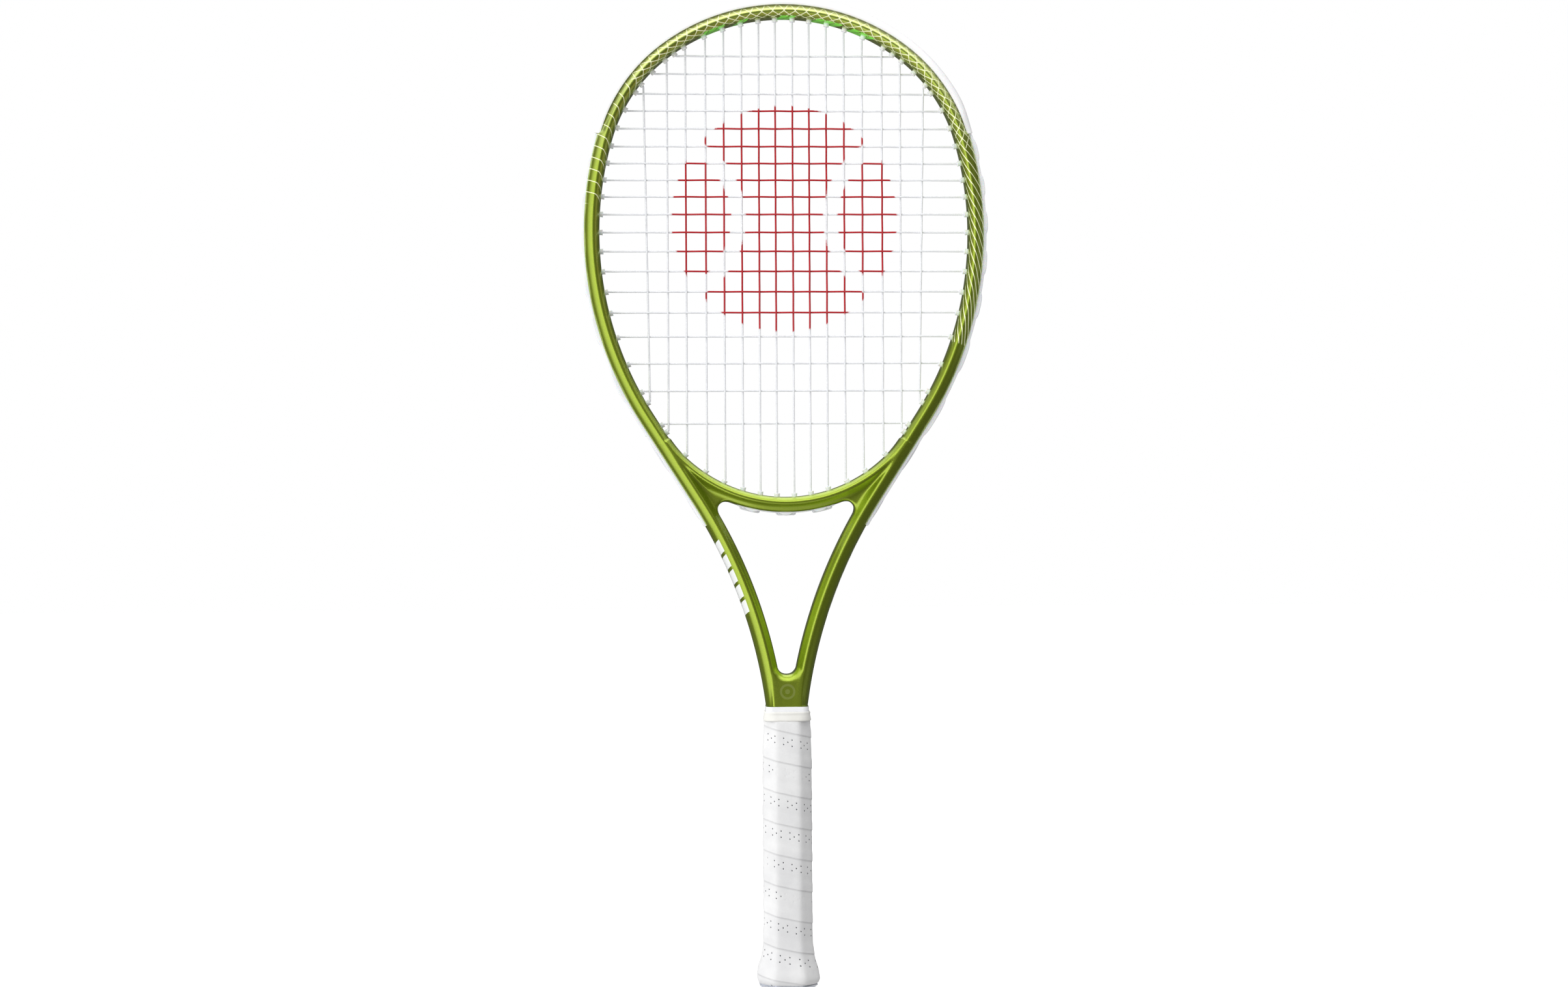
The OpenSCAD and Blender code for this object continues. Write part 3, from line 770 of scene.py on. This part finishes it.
def build_throat_strip():
    shell = Shell()
    stations, profiles = [], []
    limit, wall_top, hump_r, hump_top, hump_step = 18.6, 1.3, 7.5, 3.0, 12.4
    for angle in np.linspace(-limit, limit, 150):
        ray = pair(math.sin(math.radians(angle)), -math.cos(math.radians(angle)))
        thick = wall_top * min(1, 0.25 + (limit - abs(angle)) / 1.6)
        for middle in (-hump_step, 0, hump_step):
            off = math.radians(angle - middle) * BRIDGE_OUT
            if abs(off) < hump_r:
                hump = math.sqrt(hump_r ** 2 - off ** 2) - hump_r + hump_top
                thick = max(thick, float(smooth_max(wall_top, hump, 0.8)))
        wall = min(thick, wall_top)
        stations.append((BRIDGE_C + BRIDGE_OUT * ray, ray))
        profiles.append(ridge_profile([(-1.5, 3.9), (thick * 0.55, 4.0), (thick * 0.85, 3.6),
                                       (thick, 2.8), (thick, 1.5), (thick - 0.2, 1.15),
                                       (wall - 0.1, 1.1)]))
    add_sweep(shell, stations, profiles, flip=True)
    for side in (-1, 1):
        for hole in BRIDGE_HOLES:
            add_barrel(shell, sided(hole, side), 1.6, -LAY)
    return shell.build("throat_strip", sharp=50)


# ---------- handle ----------
def grip_size(z):
    table = np.array(GRIP_SECTIONS)
    return np.interp(z, table[:, 0], table[:, 1]), np.interp(z, table[:, 0], table[:, 2])


def octagon_radius(angle, width, depth, power=22.0):
    """Distance from the axis to a soft-edged octagon, in one direction."""
    c, s = abs(math.cos(angle)), abs(math.sin(angle))
    cut = width / 2 + depth / 2 - BEVEL * width
    total = (2 * c / width) ** power + (2 * s / depth) ** power + ((c + s) / cut) ** power
    return total ** (-1 / power)


def tape_lift(band):
    """How far the tape stands out at a distance above its own lower edge."""
    if band < 0.4:
        return 0.34 * math.sqrt(max(0, 1 - (1 - band / 0.4) ** 2))
    return 0.34 * (1 - float(smooth_step(4.5, 8.5, band))) + 0.1 * math.exp(-(band - 12) ** 2 / 14)


def build_grip():
    """The tape is a helix: each row of the mesh follows it, and the columns go round."""
    columns = 152
    bands = [0, 0.06, 0.2, 0.4, 0.7, 1.2, 2.2, 3.5, 4.8, 6, 7.2, 8.6, 10.2, 12, 14, 16, 18,
             19.6, 20.6, 21.1, 21.38]
    turns = 11
    points, wrap, across = [], [], []
    for turn in range(-1, turns):
        for band in bands:
            for k in range(columns + 1):
                share = k / columns
                angle = math.pi + 2 * math.pi * share
                z = TAPE_START + (turn + 1 - share) * TAPE_PITCH + band
                held = min(max(z, GRIP_LOW), GRIP_TOP)
                width, depth = grip_size(held)
                tuck = 1.2 * max(0, 1 - (held - GRIP_LOW) / 1.3) ** 2
                tuck += min(abs(z - held), 5.5)
                r = octagon_radius(angle, width - 0.7, depth - 0.7) + tape_lift(band) - tuck
                points.append((r * math.cos(angle), r * math.sin(angle), held))
                wrap.append((share - turn) * TAPE_ROUND)
                across.append(band)
    shell = Shell()
    shell.add(points, grid_faces(len(bands) * (turns + 1), columns + 1, closed=False),
              wrap=wrap, band=across)
    piece = shell.build("wound_grip")
    clean(piece.data)
    return piece


def clean(mesh):
    """Welds the seam and drops the faces that fold flat at the grip's ends."""
    work = bmesh.new()
    work.from_mesh(mesh)
    bmesh.ops.remove_doubles(work, verts=work.verts[:], dist=1e-5)
    bmesh.ops.dissolve_degenerate(work, dist=2e-5, edges=work.edges[:])
    flat = [f for f in work.faces if f.calc_area() < 1e-10]
    bmesh.ops.delete(work, geom=flat, context="FACES")
    loose = [v for v in work.verts if not v.link_faces]
    bmesh.ops.delete(work, geom=loose, context="VERTS")
    work.to_mesh(mesh)
    work.free()


def rounded_ring(width, depth, corner, count):
    """Points round a rectangle with round corners."""
    points = []
    for q, (sx, sy) in enumerate(((1, 1), (-1, 1), (-1, -1), (1, -1))):
        for k in range(count):
            a = math.pi / 2 * (q + k / (count - 1))
            points.append((sx * (width / 2 - corner) + corner * math.cos(a),
                           sy * (depth / 2 - corner) + corner * math.sin(a)))
    return points


def build_collar():
    """The rubber ring over the tape's end, with a rolled lip at its top."""
    outline = [(-0.4, 1.8), (-0.35, 2.6), (0, 3.1), (0.5, 3.2), (1.3, 2.9), (2.4, 2.4),
               (3.4, 2.05), (4.0, 1.9), (4.4, 2.0), (4.8, 2.2), (5.2, 2.25), (5.6, 2.05),
               (5.9, 1.6), (6.0, 1.1), (6.0, 0.4), (5.7, 0.05), (-0.3, 0.05)]
    points = []
    for z, grow in outline:
        ring = rounded_ring(29.9 + grow, 24.2 + 1.35 * grow, 5.1 + 1.4 * grow, 9)
        points += [(x, y, GRIP_TOP + z) for x, y in ring]
    columns = 36
    faces = grid_faces(len(outline), columns)
    last = (len(outline) - 1) * columns
    faces += [(last + c, last + (c + 1) % columns, (c + 1) % columns, c) for c in range(columns)]
    shell = Shell()
    shell.add(points, faces)
    return shell.build("rolled_collar")


# ---------- materials ----------
# Middle and half length of each group of dashes, along the frame from the crown.
CROWN_DASHES = ((-55, 8), (-33, 3.2), (-1, 5.6), (29, 10), (55.5, 8.5))
DASH_PITCH = 6.6
BAR_START = SHAFT_TOP + SHAFT_STRAIGHT + 33.0
BAR_PITCH = 11.4
BAR_COUNT = 5
BADGE_Z = 0.2065
BALL_Z = 535.0
BALL_R = 78.0
SEAM_X = 88.0
SEAM_R = 56.0
DOT_PITCH = 7.1
DOT_BAND = 14.6


class Nodes:
    """Short calls for building a node tree."""

    def __init__(self, tree, place):
        self.tree = tree
        self.place = self.node("TexCoord").outputs[place]

    def node(self, kind, inputs=None, **settings):
        made = self.tree.nodes.new("ShaderNode" + kind)
        for key, value in settings.items():
            setattr(made, key, value)
        for key, value in (inputs or {}).items():
            self.feed(made.inputs[key], value)
        return made

    def feed(self, socket, value):
        if isinstance(value, bpy.types.NodeSocket):
            self.tree.links.new(value, socket)
        else:
            socket.default_value = value

    def calc(self, operation, a, b=0.0, c=0.0):
        return self.node("Math", {0: a, 1: b, 2: c}, operation=operation).outputs[0]

    def times(self, a, b):
        return self.calc("MULTIPLY", a, b)

    def length(self, a, b):
        """Length of the flat vector (a, b)."""
        return self.calc("SQRT", self.calc("ADD", self.times(a, a), self.times(b, b)))

    def ramp(self, value, low, high, start=0.0, end=1.0):
        """A smooth change from start to end while value goes from low to high."""
        made = self.node("MapRange", {0: value, 1: low, 2: high, 3: start, 4: end},
                         interpolation_type="SMOOTHSTEP")
        return made.outputs[0]

    def mix(self, factor, a, b, blend="MIX"):
        made = self.node("Mix", {0: factor, 6: a, 7: b}, data_type="RGBA", blend_type=blend)
        return made.outputs[2]

    def layer(self, name):
        return self.node("Attribute", attribute_name=name).outputs["Fac"]

    def noise(self, scale, detail=3.0, rough=0.5):
        return self.node("TexNoise", {"Vector": self.place, "Scale": scale, "Detail": detail,
                                      "Roughness": rough}).outputs["Fac"]

    def axis(self, name):
        return self.node("SeparateXYZ", {0: self.place}).outputs[name]

    def window(self, value, middle, half, soft):
        """1 where value is within half of middle, and 0 outside."""
        off = self.calc("ABSOLUTE", self.calc("SUBTRACT", value, middle))
        return self.ramp(off, half - soft, half + soft, 1.0, 0.0)


class Graph(Nodes):
    """A material being made."""

    def __init__(self, name, sockets):
        self.material = bpy.data.materials.new(name)
        self.material.use_nodes = True
        super().__init__(self.material.node_tree, "Object")
        self.shader = self.tree.nodes["Principled BSDF"]
        for key, value in sockets.items():
            self.shader.inputs[key].default_value = value

    def set(self, socket, value):
        self.feed(self.shader.inputs[socket], value)

    def bump(self, height, distance, strength=1.0):
        made = self.node("Bump", {"Height": height, "Distance": distance, "Strength": strength})
        self.tree.links.new(made.outputs["Normal"], self.shader.inputs["Normal"])


def colour(r, g, b):
    """An sRGB colour, 0 to 255, as the linear colour that a shader takes."""
    out = []
    for v in (r, g, b):
        v /= 255
        out.append(v / 12.92 if v <= 0.04045 else ((v + 0.055) / 1.055) ** 2.4)
    return (*out, 1.0)


def line_mask(g, phase, scale, low, high):
    """1 on the printed lines of one family, between two places along the frame."""
    off = g.times(g.calc("PINGPONG", g.layer(phase), 0.5), g.layer(scale))
    lines = g.ramp(off, 0.18, 0.31, 1.0, 0.0)
    stretch = g.window(g.layer("along"), (low + high) / 2, (high - low) / 2, 0.5)
    head = g.ramp(g.axis("Z"), 0.43, 0.44)
    return g.times(lines, g.times(stretch, head))


def crown_dashes(g):
    """Plain slanted dashes on the inside of the crown, between the grommets."""
    y = g.times(g.axis("Y"), 1 / MM)
    slanted = g.calc("MULTIPLY_ADD", y, 0.55, g.layer("along"))
    total = 0.0
    for middle, half in CROWN_DASHES:
        total = g.calc("MAXIMUM", total, g.window(slanted, middle, half, 0.15))
    gaps = g.ramp(g.calc("PINGPONG", g.calc("DIVIDE", slanted, DASH_PITCH), 0.5), 0.05, 0.075)
    inside = g.ramp(g.layer("across"), -4.9, -4.7, 1.0, 0.0)
    head = g.ramp(g.axis("Z"), 0.6, 0.61)
    return g.times(g.times(total, gaps), g.times(inside, head))


def shaft_bars(g):
    """Plain slanted bars on the outside of both shafts, further round on the right one."""
    y = g.calc("ABSOLUTE", g.times(g.axis("Y"), 1 / MM))
    slanted = g.calc("MULTIPLY_ADD", y, 0.3, g.layer("far"))
    half = BAR_COUNT * BAR_PITCH / 2
    field = g.window(slanted, BAR_START + half, half, 0.12)
    turn = g.calc("DIVIDE", g.calc("SUBTRACT", slanted, BAR_START), BAR_PITCH)
    gaps = g.ramp(g.calc("PINGPONG", turn, 0.5), 0.10, 0.115)
    edge = g.calc("SUBTRACT", g.layer("across"), g.ramp(g.axis("X"), -0.001, 0.001, 0.0, 3.2))
    outside = g.ramp(edge, 1.9, 2.15)
    return g.times(g.times(field, gaps), outside)


def throat_badge(g):
    """A small plain ring printed above the handle, front and back."""
    x = g.axis("X")
    z = g.calc("SUBTRACT", g.axis("Z"), BADGE_Z)
    r = g.length(x, z)
    return g.calc("MAXIMUM", g.window(r, 0.0046, 0.0008, 0.00008),
                  g.ramp(r, 0.0016, 0.0018, 1.0, 0.0))


def paint_material():
    g = Graph("green_paint", {"Metallic": 0.85, "Roughness": 0.3, "Coat Weight": 0.7,
                              "Coat Roughness": 0.07, "Coat IOR": 1.5})
    flake = g.noise(2600, 2.0, 0.7)
    cloud = g.noise(18, 2.0)
    base = g.mix(g.ramp(flake, 0.35, 0.72), colour(144, 168, 30), colour(174, 195, 50))
    base = g.mix(g.times(cloud, 0.18), base, colour(196, 214, 84))
    # Painted highlight: the crown's top, mostly its outer face, is mixed towards a pale
    # yellow-green as if lit from above.
    head = g.ramp(g.axis("Z"), 0.56, 0.665)
    head = g.times(head, g.ramp(g.layer("across"), -2.6, 0.6, 0.1, 0.75))
    base = g.mix(head, base, colour(232, 238, 164))
    lines = g.calc("MAXIMUM", line_mask(g, "lines_a", "scale_a", -212, 311),
                   line_mask(g, "lines_b", "scale_b", -121, 173))
    lines = g.times(lines, g.ramp(g.layer("across"), -5.7, -5.3))
    bars = shaft_bars(g)
    dashes = crown_dashes(g)
    badge = throat_badge(g)
    base = g.mix(lines, base, colour(250, 253, 205))
    base = g.mix(dashes, base, colour(140, 242, 76))
    base = g.mix(bars, base, colour(240, 242, 240))
    base = g.mix(g.times(badge, 0.55), base, colour(206, 222, 120))
    g.set("Base Color", base)
    printed = g.calc("MAXIMUM", g.calc("MAXIMUM", lines, dashes), bars)
    g.set("Metallic", g.calc("MULTIPLY_ADD", printed, -0.85, 0.85))
    g.set("Roughness", g.calc("MULTIPLY_ADD", flake, 0.1, 0.25))
    height = g.calc("MULTIPLY_ADD", printed, 0.5, g.times(flake, 0.16))
    g.bump(height, 0.00006, 0.6)
    return g.material


def string_material():
    """White synthetic string, with the red sprayed stencil of a plain ball."""
    g = Graph("string_white", {"Roughness": 0.32, "Coat Weight": 0.25, "Coat Roughness": 0.2})
    x = g.times(g.axis("X"), 1 / MM)
    z = g.calc("SUBTRACT", g.times(g.axis("Z"), 1 / MM), BALL_Z)
    ragged = g.calc("MULTIPLY_ADD", g.noise(420, 3.0, 0.7), 3.0, -1.5)
    r = g.length(x, z)
    ball = g.ramp(g.calc("ADD", r, ragged), BALL_R, BALL_R + 1.5, 1.0, 0.0)
    seam = 0.0
    for way in (-1, 1):
        dx = g.calc("SUBTRACT", x, way * SEAM_X)
        off = g.calc("ADD", g.length(dx, z), ragged)
        seam = g.calc("MAXIMUM", seam, g.window(off, SEAM_R, 5.0, 0.7))
    ink = g.times(ball, g.calc("SUBTRACT", 1.0, seam))
    fibre = g.noise(1500, 4.0, 0.65)
    white = g.mix(g.ramp(fibre, 0.4, 0.66), colour(226, 227, 231), colour(242, 243, 246))
    red = g.mix(fibre, colour(168, 2, 20), colour(190, 8, 30))
    g.set("Base Color", g.mix(ink, white, red))
    g.set("Roughness", g.calc("MULTIPLY_ADD", ink, 0.2, 0.3))
    g.bump(fibre, 0.00003, 0.3)
    return g.material


def plastic_material(name, low, high, grain, rough, scatter=0.0):
    g = Graph(name, {"Roughness": rough, "Subsurface Weight": scatter, "Subsurface Scale": 0.002})
    cloud = g.noise(60, 4.0)
    fine = g.noise(grain, 3.0, 0.6)
    g.set("Base Color", g.mix(g.ramp(cloud, 0.3, 0.7), low, high))
    g.set("Roughness", g.calc("MULTIPLY_ADD", fine, 0.14, rough - 0.07))
    g.bump(fine, 0.00004, 0.5)
    return g.material


def grip_material():
    """White synthetic leather tape with pricked holes, with painted shade in the holes and along
    its lapped edge.
    """
    g = Graph("grip_white", {"Roughness": 0.62, "Sheen Weight": 0.25, "Sheen Roughness": 0.5})
    wrap, band = g.layer("wrap"), g.layer("band")
    steps = g.calc("DIVIDE", wrap, DOT_PITCH)
    pairs = g.times(g.calc("PINGPONG", steps, 0.5), DOT_PITCH)
    off = g.calc("SUBTRACT", band, DOT_BAND)
    high = g.calc("SUBTRACT", g.calc("ABSOLUTE", off), 2.15)
    outer = g.length(pairs, high)
    shifted = g.calc("ADD", g.calc("DIVIDE", wrap, 2 * DOT_PITCH), 0.25)
    middles = g.times(g.calc("PINGPONG", shifted, 0.5), 2 * DOT_PITCH)
    near = g.calc("MINIMUM", outer, g.length(middles, off))
    dots = g.ramp(near, 0.36, 0.5, 1.0, 0.0)
    rims = g.ramp(near, 0.5, 1.1, 1.0, 0.0)
    patch = g.calc("SINE", g.times(wrap, 2 * math.pi / 151))
    dots = g.times(dots, g.ramp(patch, -0.86, -0.84))
    # Painted shade along the lapped edge: light on the tape's rounded lip, stronger just under the
    # next turn's edge, where its shadow falls.
    lip = g.ramp(band, 0.0, 0.6, 1.0, 0.0)
    under = g.ramp(band, TAPE_PITCH - 1.6, TAPE_PITCH - 0.1)
    leather = g.node("TexVoronoi", {"Vector": g.place, "Scale": 900.0},
                     feature="SMOOTH_F1").outputs["Distance"]
    cloud = g.noise(34, 4.0, 0.6)
    creases = g.noise(210, 5.0, 0.65)
    base = g.mix(g.ramp(cloud, 0.3, 0.75), colour(219, 219, 220), colour(233, 233, 233))
    base = g.mix(g.times(g.ramp(creases, 0.52, 0.75), 0.12), base, colour(196, 196, 198))
    shade = g.calc("MAXIMUM", g.times(lip, 0.12), g.times(under, 0.3))
    base = g.mix(shade, base, colour(150, 150, 152))
    # Painted shade: the pricked holes are painted dark grey for the shade inside them. The bump
    # below also dents them.
    base = g.mix(dots, base, colour(52, 54, 60))
    g.set("Base Color", base)
    height = g.calc("MULTIPLY_ADD", leather, 0.25, g.times(creases, 0.5))
    height = g.calc("MULTIPLY_ADD", dots, -3.0, height)
    height = g.calc("MULTIPLY_ADD", rims, -0.6, height)
    g.bump(height, 0.00016, 0.8)
    return g.material


def steel_material():
    g = Graph("staple_steel", {"Metallic": 1.0, "Roughness": 0.3})
    drawn = g.noise(900, 3.0)
    g.set("Base Color", g.mix(drawn, colour(150, 152, 156), colour(205, 206, 210)))
    g.set("Roughness", g.calc("MULTIPLY_ADD", drawn, 0.25, 0.2))
    return g.material


def dress_cad(name, material):
    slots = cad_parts[name].data.materials
    slots.clear()
    slots.append(material)


def finish_piece(piece, material, slot, *nodes):
    piece.data.materials.append(material)
    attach(piece, "racket")
    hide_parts(*nodes)


# ---------- stage, lights and camera ----------
def build_stage():
    """A wide pale floor, see-through from below so that the butt end can be looked at."""
    half, height = 6.0, -0.0006
    points = [(-half, -half, height), (half, -half, height), (half, half, height),
              (-half, half, height)]
    mesh = bpy.data.meshes.new("floor")
    mesh.from_pydata(points, [], [(0, 1, 2, 3)])
    floor = bpy.data.objects.new("floor", mesh)
    bpy.context.scene.collection.objects.link(floor)
    g = Graph("pale_floor", {"Base Color": (0.26, 0.26, 0.26, 1), "Roughness": 1.0,
                             "Specular IOR Level": 0.0, "Emission Color": (1, 1, 1, 1),
                             "Emission Strength": 0.9})
    under = g.node("NewGeometry").outputs["Backfacing"]
    g.set("Alpha", g.calc("SUBTRACT", 1.0, under))
    mesh.materials.append(g.material)
    floor.visible_glossy = False
    floor.visible_diffuse = False
    floor.visible_shadow = False


def add_light(name, where, aim, size, power):
    light = bpy.data.lights.new(name, "AREA")
    light.shape = "RECTANGLE"
    light.size, light.size_y = size
    light.energy = power
    lamp = bpy.data.objects.new(name, light)
    lamp.location = where
    lamp.rotation_euler = (Vector(aim) - Vector(where)).to_track_quat("-Z", "Y").to_euler()
    lamp.visible_glossy = False
    bpy.context.scene.collection.objects.link(lamp)


def build_world():
    """A studio round the object: even light on matt surfaces, soft panels in the gloss."""
    world = bpy.data.worlds.new("studio")
    bpy.context.scene.world = world
    world.use_nodes = True
    g = Nodes(world.node_tree, "Generated")
    x, y, z = (g.axis(name) for name in "XYZ")
    # A tall panel to the left of the front, whatever the height.
    level = g.calc("SQRT", g.calc("MULTIPLY_ADD", z, g.times(z, -1.0), 1.0))
    toward_left = g.calc("MULTIPLY_ADD", x, -0.85, g.times(y, -0.52))
    toward_left = g.calc("DIVIDE", toward_left, g.calc("MAXIMUM", level, 0.3))
    left = g.ramp(toward_left, 0.7, 0.94, 0.0, 1.3)
    # Panels overhead, far right and low in front, and a faint glow straight ahead.
    top = g.ramp(z, 0.4, 0.85, 0.0, 1.8)
    right = g.ramp(x, 0.94, 1.0, 0.0, 0.28)
    toward_floor = g.calc("MULTIPLY_ADD", y, -0.3, g.times(z, -0.95))
    low = g.ramp(toward_floor, 0.84, 0.97, 0.0, 0.5)
    ahead = g.ramp(y, -0.75, -1.0, 0.08, 0.2)
    panels = g.calc("MAXIMUM", g.calc("MAXIMUM", left, top), g.calc("MAXIMUM", right, low))
    panels = g.calc("ADD", panels, ahead)
    # What matt surfaces see: brighter to the left and above.
    even = g.calc("MULTIPLY_ADD", x, -0.4, 0.8)
    even = g.calc("MULTIPLY_ADD", z, 0.12, even)
    rays = g.node("LightPath").outputs
    strength = g.node("Mix", {0: rays["Is Glossy Ray"], 2: even, 3: panels},
                      data_type="FLOAT").outputs[0]
    strength = g.node("Mix", {0: rays["Is Camera Ray"], 2: strength, 3: 1.0},
                      data_type="FLOAT").outputs[0]
    background = g.tree.nodes["Background"]
    background.inputs["Color"].default_value = (1, 1, 1, 1)
    g.feed(background.inputs["Strength"], strength)


def build_lights():
    add_light("left_softbox", (-1.5, -1.7, 1.0), (0, 0, 0.4), (0.9, 1.6), 15)
    add_light("top_softbox", (0.2, -0.6, 2.2), (0, 0, 0.4), (1.5, 1.0), 9)


def build_camera():
    width_shown = 1.0917
    lens, sensor, height, aim_x = 60.0, 36.0, 0.3437, -0.0012
    turn, roll = math.radians(3.0), math.radians(0.3)
    distance = width_shown * lens / sensor
    data = bpy.data.cameras.new("camera")
    data.lens = lens
    data.sensor_width = sensor
    data.clip_end = 20
    camera = bpy.data.objects.new("camera", data)
    camera.location = (aim_x - distance * math.sin(turn), -distance * math.cos(turn), height)
    camera.rotation_euler = (math.pi / 2, roll, -turn)
    bpy.context.scene.collection.objects.link(camera)
    bpy.context.scene.camera = camera


def main():
    build_camera()
    build_stage()
    build_world()
    build_lights()
    white = plastic_material("grommet_white", colour(236, 238, 243), colour(247, 248, 250),
                             1400, 0.38, 0.15)
    guard = plastic_material("guard_white", colour(250, 250, 251), colour(254, 254, 255),
                             1100, 0.4, 0.1)
    string = string_material()
    finish_piece(build_frame(), paint_material(), "frame_paint", "frame_tube", "throat_bridge")
    finish_piece(build_bumper(), guard, "guard_plastic", "bumper_guard")
    finish_piece(build_strip(1), white, "grommet_plastic", "grommet_strip_right")
    finish_piece(build_strip(-1), white, "grommet_plastic", "grommet_strip_left")
    finish_piece(build_throat_strip(), white, "grommet_plastic", "throat_grommet_strip")
    mains = build_string("woven_mains", half_mains(1) + half_mains(-1)[::-1])
    finish_piece(mains, string, "string", "main_string")
    crosses = build_string("woven_crosses", cross_path())
    finish_piece(crosses, string, "string", "cross_string")
    finish_piece(build_grip(), grip_material(), "grip", "grip_tape")
    rubber = plastic_material("collar_cream", colour(230, 229, 223), colour(240, 239, 235),
                              800, 0.55)
    finish_piece(build_collar(), rubber, "collar_rubber", "rubber_collar")
    for name, skin, low, high, grain, rough in (
            ("finishing_tape", "band_white", (236, 237, 240), (248, 248, 250), 1200, 0.35),
            ("handle_pallet", "pallet_foam", (176, 150, 112), (196, 170, 130), 500, 0.8),
            ("butt_cap", "cap_white", (214, 218, 226), (232, 234, 240), 1300, 0.42),
            ("butt_cap_door", "door_grey", (112, 122, 140), (138, 148, 164), 1300, 0.4)):
        dress_cad(name, plastic_material(skin, colour(*low), colour(*high), grain, rough))
    steel = steel_material()
    dress_cad("butt_cap_staples", steel)
    dress_cad("grip_staple", steel)


bpy.context.scene.view_settings.view_transform = "Standard"
main()
